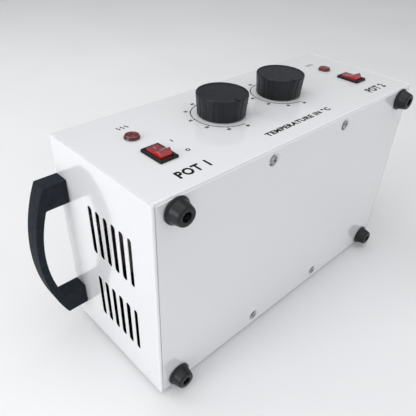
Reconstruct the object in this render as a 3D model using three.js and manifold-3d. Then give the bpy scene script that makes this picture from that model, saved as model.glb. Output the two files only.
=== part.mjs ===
// Double wax warmer: a folded sheet-metal housing with two heated wells, two removable lidded pots,
// a control panel with two thermostat knobs, two rocker switches and two lamps, and two carry handles.
// Millimetres, +Z up. The feet stand on z = 0, +X is to the right of someone facing the control panel,
// and the control panel faces -Y.

import * as THREE from 'three';
import { mergeVertices } from 'three/addons/utils/BufferGeometryUtils.js';
import Module from 'manifold-3d';

const wasm = await Module();
wasm.setup();

// ---------------------------------------------------------------- driving dimensions

const BOX_WIDTH = 370;
const BOX_DEPTH = 220;
const BOX_HEIGHT = 142;
const FOOT_HEIGHT = 12.5;
const SHEET = 1.2;              // steel sheet of the housing
const BEND = 2;                 // outside radius of a fold
const GAP = 0.3;                // clearance between pieces that touch

const LIP_WIDTH = 23;           // folded lip along the bottom of the front and back panels
const SIDE_RETURN = 10;         // fold of each side panel into the housing
const PANEL_TURN = 2.7;         // a side panel's bottom edge folds in this far
const BASE_SIDE_GAP = 0.7;      // open joint between the base plate and a side panel's folded edge
const BASE_SETBACK = 1.5;       // base plate edge behind the front and back faces

const SWITCH_SHIFT = 4.4;       // switches and lamps sit this far right of the middle of the front
const CONTROL_X = 139.9;        // switch and lamp, either side of that
const LAMP_Z = 91.1;            // heights on the front panel are above the base plate
const SWITCH_Z = 53.8;
const KNOB_SHIFT = 0.6;         // knobs sit this far right of the middle of the front
const KNOB_X = 42.2;
const KNOB_Z = 78.6;
const KNOB_RADIUS = 24.9;
const KNOB_PROUD = 21.8;        // knob face in front of the panel
const KNOB_FLUTES = 18;
const KNOB_REST = { left: -9, right: -18 };   // pointer at rest, degrees anticlockwise of straight down
const KNOB_LIFT = 0.8;          // knob skirt clear of the panel
const SHAFT_RADIUS = 3;
const SHAFT_HOLE_RADIUS = 5;
const LAMP_HOLE_RADIUS = 5.2;
const THERMOSTAT_DEPTH = 36;    // back of the thermostat behind the front face of the housing

const BEZEL_WIDTH = 18.8;
const BEZEL_HEIGHT = 27.4;
const BEZEL_PROUD = 2.5;
const ROCKER_TILT = THREE.MathUtils.degToRad(13);
const ROCKER_HALF_WIDTH = 5.8;
const ROCKER_PIVOT_DEPTH = 2.4; // pivot behind the front face of the housing

const SIDE_SHIFT = 4.5;         // handles and vents sit this far behind the middle of a side
const HANDLE_HALF_LENGTH = 76.7;
const HANDLE_HALF_GAP = 52.8;
const HANDLE_END_REACH = 22.4;
const HANDLE_REACH = 40;
const HANDLE_GRIP_DEPTH = 7.2;
const HANDLE_INNER_RISE = 9.8;  // how far the inside of the grip bows out
const HANDLE_LOW_Z = 123.8;
const HANDLE_WIDTH = 17.5;
const HANDLE_SCREW_Z = 132.5;
const HANDLE_SCREW_Y = (HANDLE_HALF_LENGTH + HANDLE_HALF_GAP) / 2;

const SLOT_COUNT = 6;
const SLOT_TOP_Z = 89.3;
const SLOT_PITCH = 11.45;
const SLOT_LENGTH = 52.4;
const SLOT_WIDTH = 6.2;
const LAST_SLOT_WIDTH = 5;      // the lowest row is narrower
const SLOT_GROUP_Y = 41;

const FOOT_X = 163.5;
const FOOT_Y = 98;
const FOOT_FLANGE_RADIUS = 12;
const FOOT_SEAT = 7;            // screw seat inside a foot, above the ground
const BASE_SCREW_X = 54.5;
const BASE_SCREW_Y = 98.7;
const DIMPLE_RADIUS = 6.5;
const DIMPLE_DEPTH = 1.2;

const WELL_X = 88;
const WELL_RADIUS = 66;         // inside
const WELL_WALL = 1.2;
const WELL_FLANGE_RADIUS = 76;
const WELL_DEPTH = 98;
const WELL_SLACK = 1.3;         // housing hole round the well
const POT_RADIUS = 62.4;        // inside
const POT_WALL = 1;
const POT_RIM_RADIUS = 70;
const POT_DEPTH = 90;
const LID_RADIUS = 66.5;
const LID_RISE = 8;
const LID_SKIRT = 5;
const LID_KNOB_HEIGHT = 22;
const BAIL_RADIUS = 73.5;
const BAIL_WIRE = 1.4;
const BAIL_LIFT = 5.2;          // pivot above the pot's rim

const HEATER_LOW = 85;
const HEATER_HIGH = 125;
const HEATER_GAP = 4.6;         // half of the split in the heater band
const HEATER_EAR = 1.6;         // thickness of a clamp ear

const INLET_X = 118;
const INLET_Z = 42;
const INLET_PROUD = 2.8;
const PIN_SPACING = 7;
const BLOCK_X = 55;
const BLOCK_Y = 55;

const ROUND = 24;               // sides of a large turned piece
const FINE = 12;                // sides of a small turned piece
const SMALL = 8;                // sides of a screw or pin

// ---------------------------------------------------------------- derived places

const SIDE = BOX_WIDTH / 2;
const FRONT = -BOX_DEPTH / 2;
const BACK = BOX_DEPTH / 2;
const BOTTOM = FOOT_HEIGHT;
const TOP = BOTTOM + BOX_HEIGHT;
const PLATE_TOP = BOTTOM + SHEET;
const LIP_Z = PLATE_TOP + GAP;
const WRAP_END = SIDE - SHEET - 2 * GAP;
const FLANGE_TOP = TOP + GAP + 1.5;
const RIM_Z = FLANGE_TOP + GAP;
const RIM_TOP = RIM_Z + 1.2;
const LID_Z = RIM_TOP + GAP;
const BAIL_Z = RIM_TOP + BAIL_LIFT;
const HEATER_INSIDE = WELL_RADIUS + WELL_WALL + 0.5;
const HEATER_OUTSIDE = HEATER_INSIDE + 3.6;
const CLAMP_Y = -HEATER_OUTSIDE - 5;
const CLAMP_Z = (HEATER_LOW + HEATER_HIGH) / 2;
const LID_CROWN = LID_Z + 1 + LID_RISE;

// ---------------------------------------------------------------- materials

const paint = (color, roughness, metalness) => ({ color, roughness, metalness });
const WHITE_PAINT = paint('#eceef0', 0.32, 0);
const BLACK_PLASTIC = paint('#22262a', 0.5, 0);
const BLACK_RUBBER = paint('#1b1d20', 0.7, 0);
const RED_LENS = paint('#c4121c', 0.2, 0);
const DARK_RED = paint('#6a1016', 0.35, 0);
const ALUMINIUM = paint('#c9ccd0', 0.35, 0.9);
const ZINC = paint('#b9bcc0', 0.35, 0.9);
const BRASS = paint('#c8a24a', 0.35, 0.9);
const COPPER = paint('#b87345', 0.4, 0.9);
const MICA = paint('#8f8a7c', 0.6, 0.3);
const CREAM_PLASTIC = paint('#e6e0cc', 0.5, 0);

// ---------------------------------------------------------------- solids

const ALONG_X = new THREE.Matrix4().makeBasis(
  new THREE.Vector3(0, 1, 0), new THREE.Vector3(0, 0, 1), new THREE.Vector3(1, 0, 0));

// One closed body for manifold-3d from any closed three.js geometry.
function solid(geometry) {
  const bare = geometry.clone();
  bare.deleteAttribute('normal');
  bare.deleteAttribute('uv');
  const merged = mergeVertices(bare, 1e-4);
  const points = merged.getAttribute('position').array;
  const corners = [];
  let volume = 0;
  for (let i = 0; i < merged.index.count; i += 3) {
    const [a, b, c] = [0, 1, 2].map((k) => merged.index.getX(i + k));
    if (a === b || b === c || c === a) continue;
    corners.push([a, b, c]);
    const [p, q, r] = [a, b, c].map((k) => new THREE.Vector3().fromArray(points, 3 * k));
    volume += p.dot(q.cross(r));
  }
  if (volume < 0) corners.forEach((corner) => corner.reverse());
  return new wasm.Manifold(new wasm.Mesh({
    numProp: 3,
    vertProperties: new Float32Array(points),
    triVerts: new Uint32Array(corners.flat()),
  }));
}

function join(first, ...others) {
  return others.reduce((whole, piece) => whole.add(piece), first);
}

function cut(first, ...tools) {
  return tools.reduce((whole, tool) => whole.subtract(tool), first);
}

function toGeometry(body) {
  const mesh = body.getMesh();
  const geometry = new THREE.BufferGeometry();
  geometry.setAttribute('position', new THREE.BufferAttribute(new Float32Array(mesh.vertProperties), 3));
  geometry.setIndex(new THREE.BufferAttribute(new Uint32Array(mesh.triVerts), 1));
  geometry.computeVertexNormals();
  return geometry;
}

function box(x0, x1, y0, y1, z0, z1) {
  const geometry = new THREE.BoxGeometry(x1 - x0, y1 - y0, z1 - z0);
  geometry.translate((x0 + x1) / 2, (y0 + y1) / 2, (z0 + z1) / 2);
  return solid(geometry);
}

// Round bar along Z, from z0 to z1.
function rod(radius, z0, z1, sides = SMALL) {
  const geometry = new THREE.CylinderGeometry(radius, radius, z1 - z0, sides);
  geometry.rotateX(Math.PI / 2);
  geometry.translate(0, 0, (z0 + z1) / 2);
  return solid(geometry);
}

// Turned piece about Z; the profile is a list of [radius, z].
function turned(profile, sides = ROUND) {
  const geometry = new THREE.LatheGeometry(profile.map(([r, z]) => new THREE.Vector2(r, z)), sides);
  geometry.rotateX(Math.PI / 2);
  return solid(geometry);
}

// Turned ring: the profile closes on itself away from the axis.
function ring(profile, sides = ROUND) {
  return turned([...profile, profile[0]], sides);
}

function extruded(shape, depth, options = {}) {
  return new THREE.ExtrudeGeometry(shape, { depth, bevelEnabled: false, curveSegments: 3, ...options });
}

// Extrusion along Z from 0 to height with a flat chamfer round both ends, inside the outline.
function chamfered(shape, height, chamfer) {
  const geometry = extruded(shape, height - 2 * chamfer, {
    bevelEnabled: true,
    bevelThickness: chamfer,
    bevelSize: chamfer,
    bevelOffset: -chamfer,
    bevelSegments: 1,
  });
  geometry.translate(0, 0, chamfer);
  return geometry;
}

// Sheet or block whose outline is drawn in (y, z), from x0 to x1.
function slabAlongX(shape, x0, x1) {
  const geometry = extruded(shape, x1 - x0);
  geometry.applyMatrix4(ALONG_X);
  geometry.translate(x0, 0, 0);
  return solid(geometry);
}

function tube(points, radius, steps, sides = 8) {
  const path = new THREE.CatmullRomCurve3(points.map((p) => new THREE.Vector3(...p)));
  const section = new THREE.Shape();
  section.absarc(0, 0, radius, 0, 2 * Math.PI);
  const outline = new THREE.Shape(section.getSpacedPoints(sides).slice(0, sides));
  return solid(extruded(outline, 1, { steps, extrudePath: path }));
}

// Front, top and back of a folded channel in (y, z), with an optional lip along each bottom edge.
function channelShape(halfDepth, low, high, radius, lip) {
  const inner = radius - SHEET;
  const shape = new THREE.Shape();
  if (lip > 0) {
    shape.moveTo(-halfDepth + lip, low);
    shape.lineTo(-halfDepth + radius, low);
    shape.absarc(-halfDepth + radius, low + radius, radius, -Math.PI / 2, -Math.PI, true);
  } else {
    shape.moveTo(-halfDepth, low);
  }
  shape.absarc(-halfDepth + radius, high - radius, radius, Math.PI, Math.PI / 2, true);
  shape.absarc(halfDepth - radius, high - radius, radius, Math.PI / 2, 0, true);
  if (lip > 0) {
    shape.absarc(halfDepth - radius, low + radius, radius, 0, -Math.PI / 2, true);
    shape.lineTo(halfDepth - lip, low);
    shape.lineTo(halfDepth - lip, low + SHEET);
    shape.absarc(halfDepth - radius, low + radius, inner, -Math.PI / 2, 0, false);
  } else {
    shape.lineTo(halfDepth, low);
    shape.lineTo(halfDepth - SHEET, low);
  }
  shape.absarc(halfDepth - radius, high - radius, inner, 0, Math.PI / 2, false);
  shape.absarc(-halfDepth + radius, high - radius, inner, Math.PI / 2, Math.PI, false);
  if (lip > 0) {
    shape.absarc(-halfDepth + radius, low + radius, inner, Math.PI, 1.5 * Math.PI, false);
    shape.lineTo(-halfDepth + lip, low + SHEET);
  } else {
    shape.lineTo(-halfDepth + SHEET, low);
  }
  return shape;
}

// ---------------------------------------------------------------- scene graph

const warmer = new THREE.Group();
warmer.position.y = (KNOB_PROUD - INLET_PROUD) / 2;

function place(parent, name, body, finish, position = [0, 0, 0], rotation = [0, 0, 0]) {
  const mesh = new THREE.Mesh(toGeometry(body), new THREE.MeshStandardMaterial(finish));
  mesh.name = name;
  mesh.position.set(...position);
  mesh.rotation.set(...rotation);
  parent.add(mesh);
}

function group(parent, position, rotation = [0, 0, 0]) {
  const child = new THREE.Group();
  child.position.set(...position);
  child.rotation.set(...rotation);
  parent.add(child);
  return child;
}

const SIDES = [['left', -1], ['right', 1]];
const ENDS = [['front', -1], ['rear', 1]];
const ALONG_PLUS_X = [0, Math.PI / 2, 0];   // turn for a screw made along +Z

// ---------------------------------------------------------------- housing

function pressDimple(sheet, x, y, underside, radius) {
  const boss = rod(radius + SHEET, underside, underside + DIMPLE_DEPTH + SHEET, FINE).translate([x, y, 0]);
  const hollow = rod(radius, underside - 1, underside + DIMPLE_DEPTH, FINE).translate([x, y, 0]);
  return sheet.add(boss).subtract(hollow);
}

const DRILL_LOW = BOTTOM - 10;
const DRILL_HIGH = BOTTOM + 10;

function drillBase(sheet) {
  let drilled = sheet;
  for (const sx of [-1, 1]) {
    for (const sy of [-1, 1]) {
      drilled = cut(drilled,
        rod(2.2, DRILL_LOW, DRILL_HIGH).translate([sx * BASE_SCREW_X, sy * BASE_SCREW_Y, 0]),
        rod(2.3, DRILL_LOW, DRILL_HIGH).translate([sx * FOOT_X, sy * FOOT_Y, 0]));
    }
  }
  return drilled;
}

function housingWrap() {
  let wrap = slabAlongX(channelShape(BACK, LIP_Z, TOP, BEND, LIP_WIDTH), -WRAP_END, WRAP_END);
  const wellHole = rod(WELL_RADIUS + WELL_WALL + WELL_SLACK, TOP - 5, TOP + 5, ROUND);
  const lampHole = rod(LAMP_HOLE_RADIUS, -5, 5, FINE).rotate([90, 0, 0]);
  const shaftHole = rod(SHAFT_HOLE_RADIUS, -5, 5, FINE).rotate([90, 0, 0]);
  const switchHole = box(-8.9, 8.9, -5, 5, -12.9, 12.9);
  for (const sx of [-1, 1]) {
    for (const sy of [-1, 1]) {
      wrap = pressDimple(wrap, sx * BASE_SCREW_X, sy * BASE_SCREW_Y, LIP_Z, DIMPLE_RADIUS + SHEET + GAP);
    }
    const middle = SWITCH_SHIFT + sx * CONTROL_X;
    wrap = cut(wrap,
      wellHole.translate([sx * WELL_X, 0, 0]),
      lampHole.translate([middle, FRONT, BOTTOM + LAMP_Z]),
      shaftHole.translate([KNOB_SHIFT + sx * KNOB_X, FRONT, BOTTOM + KNOB_Z]),
      switchHole.translate([middle, FRONT, BOTTOM + SWITCH_Z]));
  }
  const inletHole = box(-14, 14, -5, 5, -10.4, 10.4).translate([INLET_X, BACK, BOTTOM + INLET_Z]);
  return drillBase(cut(wrap, inletHole));
}

function basePlate() {
  const x = SIDE - PANEL_TURN - BASE_SIDE_GAP;
  const y = BACK - BASE_SETBACK;
  let plate = box(-x, x, -y, y, BOTTOM, PLATE_TOP);
  for (const sx of [-1, 1]) {
    for (const sy of [-1, 1]) {
      plate = pressDimple(plate, sx * BASE_SCREW_X, sy * BASE_SCREW_Y, BOTTOM, DIMPLE_RADIUS);
    }
  }
  return drillBase(plate);
}

// Round-ended vent slot, a hole in a side panel's (y, z) outline.
function slotPath(y, z, width) {
  const r = width / 2;
  const half = SLOT_LENGTH / 2 - r;
  const path = new THREE.Path();
  path.absarc(y + half, z, r, -Math.PI / 2, Math.PI / 2, false);
  path.absarc(y - half, z, r, Math.PI / 2, 1.5 * Math.PI, false);
  path.closePath();
  return path;
}

// Bottom edge of a side panel, folded in towards the base plate.
function foldedEdge() {
  const above = BEND + 0.5;
  const shape = new THREE.Shape();
  shape.moveTo(0, above);
  shape.absarc(-BEND, BEND, BEND, 0, -Math.PI / 2, true);
  shape.lineTo(-PANEL_TURN, 0);
  shape.lineTo(-PANEL_TURN, SHEET);
  shape.absarc(-BEND, BEND, BEND - SHEET, -Math.PI / 2, 0, false);
  shape.lineTo(-SHEET, above);
  const geometry = extruded(shape, BOX_DEPTH);
  geometry.rotateX(Math.PI / 2);
  geometry.translate(0, BACK, 0);
  return solid(geometry);
}

// Side panel facing +X with its outer face at x = 0 and its folded bottom edge at z = 0.
// Vents and handle screws are centred on y = shift.
function sidePanel(shift) {
  const outline = new THREE.Shape();
  outline.moveTo(FRONT, BEND);
  outline.lineTo(BACK, BEND);
  outline.absarc(BACK - BEND, BOX_HEIGHT - BEND, BEND, 0, Math.PI / 2, false);
  outline.absarc(FRONT + BEND, BOX_HEIGHT - BEND, BEND, Math.PI / 2, Math.PI, false);
  for (let row = 0; row < SLOT_COUNT; row += 1) {
    const width = row === SLOT_COUNT - 1 ? LAST_SLOT_WIDTH : SLOT_WIDTH;
    for (const sy of [-1, 1]) {
      outline.holes.push(slotPath(shift + sy * SLOT_GROUP_Y, SLOT_TOP_Z - row * SLOT_PITCH, width));
    }
  }
  const plate = slabAlongX(outline, -SHEET, 0);
  const inset = SHEET + GAP;
  const fold = channelShape(BACK - inset, SHEET + GAP + inset, BOX_HEIGHT - inset, BEND, 0);
  const panel = join(plate, foldedEdge(), slabAlongX(fold, -SHEET - SIDE_RETURN, -SHEET / 2));
  const drill = rod(2.6, -5, 5).rotate([0, 90, 0]);
  const holes = ENDS.map(([, sy]) => drill.translate([0, shift + sy * HANDLE_SCREW_Y, HANDLE_SCREW_Z]));
  return cut(panel, ...holes);
}

// ---------------------------------------------------------------- handles, feet and screws

// Pan-head screw along +Z: the head's flat seat is at z = 0 and the shank runs to z = length.
function panScrew(headRadius, headHeight, shankRadius, length) {
  return turned([
    [0, -headHeight], [headRadius * 0.7, -headHeight], [headRadius, -headHeight * 0.45], [headRadius, 0],
    [shankRadius, 0], [shankRadius, length], [0, length],
  ], SMALL);
}

// Arc through (±halfChord, end) with its middle at (0, crown), as points from -halfChord to +halfChord.
function arcPoints(halfChord, end, crown, count) {
  const rise = crown - end;
  const radius = (halfChord ** 2 + rise ** 2) / (2 * rise);
  const swing = Math.asin(halfChord / radius);
  return Array.from({ length: count + 1 }, (_, i) => {
    const a = swing * (2 * i / count - 1);
    return [radius * Math.sin(a), crown - radius + radius * Math.cos(a)];
  });
}

// Handle standing out along +X: an arched bridge drawn in (reach, y) and carried up through its width.
function handle() {
  const outer = arcPoints(HANDLE_HALF_LENGTH, HANDLE_END_REACH, HANDLE_REACH, 8);
  const innerCrown = HANDLE_REACH - HANDLE_GRIP_DEPTH;
  const inner = arcPoints(HANDLE_HALF_GAP, innerCrown - HANDLE_INNER_RISE, innerCrown, 6);
  const outline = [
    [-HANDLE_HALF_LENGTH, GAP], ...outer, [HANDLE_HALF_LENGTH, GAP],
    [HANDLE_HALF_GAP, GAP], ...inner.reverse(), [-HANDLE_HALF_GAP, GAP],
  ];
  const shape = new THREE.Shape(outline.map(([y, reach]) => new THREE.Vector2(reach, y)));
  const bridge = solid(chamfered(shape, HANDLE_WIDTH, 1.2));
  const drill = rod(2.3, -5, 14).rotate([0, 90, 0]);
  const height = HANDLE_SCREW_Z - HANDLE_LOW_Z;
  return cut(bridge, ...ENDS.map(([, sy]) => drill.translate([0, sy * HANDLE_SCREW_Y, height])));
}

function foot() {
  const top = BOTTOM - GAP;
  return ring([
    [2.2, top], [2.2, FOOT_SEAT], [4.2, FOOT_SEAT], [4.2, 0], [7.6, 0], [8.6, 1.2], [10.4, top - 3.2],
    [FOOT_FLANGE_RADIUS, top - 2.6], [FOOT_FLANGE_RADIUS, top],
  ], FINE);
}

place(warmer, 'housing_wrap', housingWrap(), WHITE_PAINT);
place(warmer, 'base_plate', basePlate(), WHITE_PAINT);
for (const [side, sx] of SIDES) {
  const facing = sx > 0 ? 0 : Math.PI;
  const flank = group(warmer, [sx * SIDE, 0, BOTTOM], [0, 0, facing]);
  place(flank, `side_panel_${side}`, sidePanel(sx * SIDE_SHIFT), WHITE_PAINT);
  const grip = group(flank, [0, sx * SIDE_SHIFT, 0]);
  place(grip, `handle_${side}`, handle(), BLACK_PLASTIC, [0, 0, HANDLE_LOW_Z]);
  for (const [end, sy] of ENDS) {
    const screwSeat = [-SHEET - GAP, sx * sy * HANDLE_SCREW_Y, HANDLE_SCREW_Z];
    place(grip, `handle_screw_${end}_${side}`, panScrew(4.2, 2.4, 2, 14), ZINC, screwSeat, ALONG_PLUS_X);
    const dimple = [sx * BASE_SCREW_X, sy * BASE_SCREW_Y, BOTTOM + DIMPLE_DEPTH - GAP];
    place(warmer, `base_screw_${end}_${side}`, panScrew(4.2, 2, 1.8, 9), ZINC, dimple);
    const stand = group(warmer, [sx * FOOT_X, sy * FOOT_Y, 0]);
    place(stand, `foot_${end}_${side}`, foot(), BLACK_RUBBER);
    place(stand, `foot_screw_${end}_${side}`, panScrew(3.7, 2, 1.8, 12), ZINC, [0, 0, FOOT_SEAT - GAP]);
  }
}

// ---------------------------------------------------------------- control panel

// Knob along +Z from the panel: fluted skirt, shallow dished face with a pointer notch, hollow behind.
function knob() {
  const fluteDepth = 0.55;
  const perFlute = 3;
  const points = [];
  for (let i = 0; i < KNOB_FLUTES * perFlute; i += 1) {
    const a = 2 * Math.PI * i / (KNOB_FLUTES * perFlute);
    const r = KNOB_RADIUS - (i % perFlute === 0 ? fluteDepth : 0);
    points.push(new THREE.Vector2(r * Math.cos(a), r * Math.sin(a)));
  }
  const skirt = chamfered(new THREE.Shape(points), KNOB_PROUD - KNOB_LIFT, 1);
  skirt.translate(0, 0, KNOB_LIFT);
  const dish = rod(KNOB_RADIUS - 3, KNOB_PROUD - 0.8, KNOB_PROUD + 1, ROUND);
  const hollow = cut(rod(KNOB_RADIUS - 3, 0, 12, FINE), rod(7, -1, 13, FINE));
  const bore = rod(SHAFT_RADIUS + GAP, 0, 14);
  const notch = box(-0.8, 0.8, -KNOB_RADIUS - 1, -KNOB_RADIUS + 5.5, KNOB_PROUD - 1.6, KNOB_PROUD + 1);
  return cut(solid(skirt), dish, hollow, bore, notch);
}

function thermostat() {
  const body = box(-17, 17, -20, 20, -32, -1.6 - SHEET);
  const collar = rod(7, -3.5, -SHEET - GAP, FINE);
  const capsule = rod(15, -THERMOSTAT_DEPTH, -31, FINE);
  return cut(join(body, collar, capsule), rod(SHAFT_RADIUS + GAP, -13, 0));
}

function switchBody() {
  const bezel = box(-BEZEL_WIDTH / 2, BEZEL_WIDTH / 2, -BEZEL_HEIGHT / 2, BEZEL_HEIGHT / 2, GAP, BEZEL_PROUD);
  const can = box(-8.5, 8.5, -12.5, 12.5, -20, GAP + 0.5);
  const reach = ROCKER_HALF_WIDTH + 0.4;
  const pocket = box(-reach, reach, -11.7, 11.7, -13, BEZEL_PROUD + 1);
  const tabs = [-8, 0, 8].map((y) => box(-2.4, 2.4, y - 0.4, y + 0.4, -28, -19.5));
  return cut(join(bezel, can, ...tabs), pocket);
}

// Rocker about its pivot, drawn in (y, z) with z out of the panel; both wings rise from the middle to a
// crest and fall away in a sloping end face.
function rocker() {
  const wing = [[8.2, 8.2], [9.9, 5.6], [10, 3], [8.6, -1], [4, -4]];
  const otherWing = wing.map(([y, z]) => [-y, z]).reverse();
  const shape = new THREE.Shape([[0, 6.2], ...wing, ...otherWing].map(([y, z]) => new THREE.Vector2(y, z)));
  return slabAlongX(shape, -ROCKER_HALF_WIDTH, ROCKER_HALF_WIDTH);
}

function lampBody() {
  return turned([
    [0, -20], [4.9, -20], [4.9, GAP], [7.1, GAP], [7.1, 1.2], [6.7, 1.7], [0, 1.7],
  ], FINE);
}

function lampLens() {
  const base = 2;
  const crown = 3.7;
  const radius = 6.4;
  const steps = 3;
  const dome = Array.from({ length: steps }, (_, i) => {
    const a = (Math.PI / 2) * i / steps;
    return [radius * Math.cos(a), base + 0.6 + (crown - base - 0.6) * Math.sin(a)];
  });
  return turned([[0, base], [radius, base], ...dome, [0, crown]], FINE);
}

// In this group +X is to the right, +Y is up and +Z is out of the front face.
const panel = group(warmer, [0, FRONT, BOTTOM], [Math.PI / 2, 0, 0]);
for (const [side, sx] of SIDES) {
  const knobX = KNOB_SHIFT + sx * KNOB_X;
  const controlX = SWITCH_SHIFT + sx * CONTROL_X;
  const dial = group(panel, [knobX, KNOB_Z, 0], [0, 0, THREE.MathUtils.degToRad(KNOB_REST[side])]);
  place(dial, `knob_${side}`, knob(), BLACK_PLASTIC);
  place(dial, `knob_shaft_${side}`, rod(SHAFT_RADIUS, -12.5, 13.5), ZINC);
  place(panel, `thermostat_${side}`, thermostat(), CREAM_PLASTIC, [knobX, KNOB_Z, 0]);
  const toggle = group(panel, [controlX, SWITCH_Z, 0]);
  place(toggle, `switch_body_${side}`, switchBody(), BLACK_PLASTIC);
  place(toggle, `rocker_${side}`, rocker(), RED_LENS, [0, 0, -ROCKER_PIVOT_DEPTH], [-ROCKER_TILT, 0, 0]);
  const lamp = group(panel, [controlX, LAMP_Z, 0]);
  place(lamp, `lamp_body_${side}`, lampBody(), DARK_RED);
  place(lamp, `lamp_lens_${side}`, lampLens(), RED_LENS);
}

// ---------------------------------------------------------------- wells, heaters, pots and lids

function heatingWell() {
  const floor = FLANGE_TOP - WELL_DEPTH;
  const outside = WELL_RADIUS + WELL_WALL;
  return turned([
    [0, floor - WELL_WALL], [outside - 3, floor - WELL_WALL], [outside, floor + 2], [outside, TOP + GAP],
    [WELL_FLANGE_RADIUS, TOP + GAP], [WELL_FLANGE_RADIUS, FLANGE_TOP], [WELL_RADIUS, FLANGE_TOP],
    [WELL_RADIUS, floor + 2.4], [WELL_RADIUS - 3, floor], [0, floor],
  ]);
}

// Split mica band round the well, with two clamp ears at the front.
function heaterBand() {
  const [inside, outside, low, high] = [HEATER_INSIDE, HEATER_OUTSIDE, HEATER_LOW, HEATER_HIGH];
  const band = ring([[inside, low], [outside, low], [outside, high], [inside, high]]);
  const split = box(-HEATER_GAP, HEATER_GAP, -outside - 5, 0, low - 1, high + 1);
  const ears = [-1, 1].map((sx) => {
    const [near, far] = [sx * HEATER_GAP, sx * (HEATER_GAP + HEATER_EAR)].sort((a, b) => a - b);
    return box(near, far, CLAMP_Y - 4, -outside + 2, low + 10, high - 10);
  });
  const bolt = rod(2.1, -10, 10).rotate([0, 90, 0]).translate([0, CLAMP_Y, CLAMP_Z]);
  return cut(join(cut(band, split), ...ears), bolt);
}

// Sensor bulb in the split of the heater band, with its capillary run to the thermostat at x = across.
function capillary(across) {
  const bulbRadius = 2.9;
  const bulbY = -HEATER_INSIDE - bulbRadius;
  const bulb = rod(bulbRadius, HEATER_LOW - 13, HEATER_HIGH + 9).translate([0, bulbY, 0]);
  const backY = FRONT + THERMOSTAT_DEPTH + 2 * GAP;
  const z = BOTTOM + KNOB_Z;
  const run = tube([
    [0, bulbY, 133], [0, bulbY, 138], [across * 0.3, bulbY - 1, 142],
    [across * 0.75, bulbY + 2, 136], [across, backY + 9, 116],
    [across, backY + 8, z + 5], [across, backY + 4, z], [across, backY, z],
  ], 1, 18, 5);
  return join(bulb, run);
}

function pot() {
  const floor = RIM_TOP - POT_DEPTH;
  const outside = POT_RADIUS + POT_WALL;
  const cup = turned([
    [0, floor - 1.2], [outside - 5, floor - 1.2], [outside, floor + 4], [outside, RIM_Z],
    [POT_RIM_RADIUS, RIM_Z], [POT_RIM_RADIUS, RIM_TOP], [POT_RADIUS, RIM_TOP],
    [POT_RADIUS, floor + 4.4], [POT_RADIUS - 5, floor], [0, floor],
  ]);
  const bore = rod(BAIL_WIRE + 0.4, -80, 80).rotate([0, 90, 0]).translate([0, 0, BAIL_Z]);
  const ears = [-1, 1].map((sx) => {
    const [near, far] = [sx * (POT_RIM_RADIUS - 2.4), sx * (POT_RIM_RADIUS - 0.8)].sort((a, b) => a - b);
    return cut(box(near, far, -4.5, 4.5, RIM_Z + 0.4, BAIL_Z + 4), bore);
  });
  return join(cup, ...ears);
}

// Wire bail lying back round the pot, its ends turned in through the ears.
function bail() {
  const steps = 16;
  const arc = Array.from({ length: steps + 1 }, (_, i) => {
    const a = THREE.MathUtils.degToRad(-2 + 184 * i / steps);
    return [BAIL_RADIUS * Math.cos(a), BAIL_RADIUS * Math.sin(a), BAIL_Z];
  });
  const pins = [-1, 1].map((sx) => {
    const pin = rod(BAIL_WIRE - 0.1, POT_RIM_RADIUS - 3, BAIL_RADIUS + 0.2, 6);
    return pin.rotate([0, sx * 90, 0]).translate([0, 0, BAIL_Z]);
  });
  return join(tube(arc, BAIL_WIRE, 24, 6), ...pins);
}

function lid() {
  const skirt = POT_RADIUS - 1;
  const bore = 2.6;
  const wall = 1;
  const steps = 3;
  const rise = Array.from({ length: steps + 1 }, (_, i) => {
    const r = skirt - (skirt - bore) * i / steps;
    return [r, LID_Z + wall + LID_RISE * (1 - (r / skirt) ** 2)];
  });
  const underside = rise.map(([r, z]) => [Math.min(r, skirt - wall), z - wall]).reverse();
  return ring([
    [skirt, LID_Z], [LID_RADIUS, LID_Z], [LID_RADIUS, LID_Z + wall],
    ...rise, ...underside, [skirt - wall, LID_Z - LID_SKIRT], [skirt, LID_Z - LID_SKIRT],
  ]);
}

function lidKnob() {
  return turned([
    [0, 13], [2.2, 13], [2.2, 0], [9, 0], [6.4, 4], [6, 9],
    [12.6, 15], [13.2, 18], [10, 21.4], [0, LID_KNOB_HEIGHT],
  ], FINE);
}

for (const [side, sx] of SIDES) {
  const station = group(warmer, [sx * WELL_X, 0, 0]);
  const clamp = [-HEATER_GAP - HEATER_EAR - GAP, CLAMP_Y, CLAMP_Z];
  const across = KNOB_SHIFT + sx * (KNOB_X - WELL_X);
  place(station, `heating_well_${side}`, heatingWell(), ALUMINIUM);
  place(station, `heater_band_${side}`, heaterBand(), MICA);
  place(station, `heater_clamp_bolt_${side}`, panScrew(3.6, 2, 1.7, 16), ZINC, clamp, ALONG_PLUS_X);
  place(station, `sensor_capillary_${side}`, capillary(across), COPPER);
  place(station, `pot_${side}`, pot(), ALUMINIUM);
  place(station, `pot_bail_${side}`, bail(), ZINC);
  place(station, `lid_${side}`, lid(), ALUMINIUM);
  place(station, `lid_knob_${side}`, lidKnob(), BLACK_PLASTIC, [0, 0, LID_CROWN + GAP]);
  place(station, `lid_screw_${side}`, panScrew(4.4, 2, 1.9, 12), ZINC, [0, 0, LID_CROWN - 1.4]);
}

// ---------------------------------------------------------------- mains inlet and wiring

const PINS = [['live', -PIN_SPACING, -2], ['earth', 0, 2], ['neutral', PIN_SPACING, -2]];

// Recessed three-pin inlet; its face plate lies on the back face, at y = 0.
function powerInlet() {
  const plate = box(-16, 16, GAP, INLET_PROUD, -12.4, 12.4);
  const can = box(-13.6, 13.6, -18, 1, -10, 10);
  const mouth = box(-12, 12, -15, 5, -8.2, 8.2);
  const slots = PINS.map(([, x, z]) => box(x - 1.3, x + 1.3, -20, -10, z - 2.3, z + 2.3));
  return cut(join(plate, can), mouth, ...slots);
}

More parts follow.
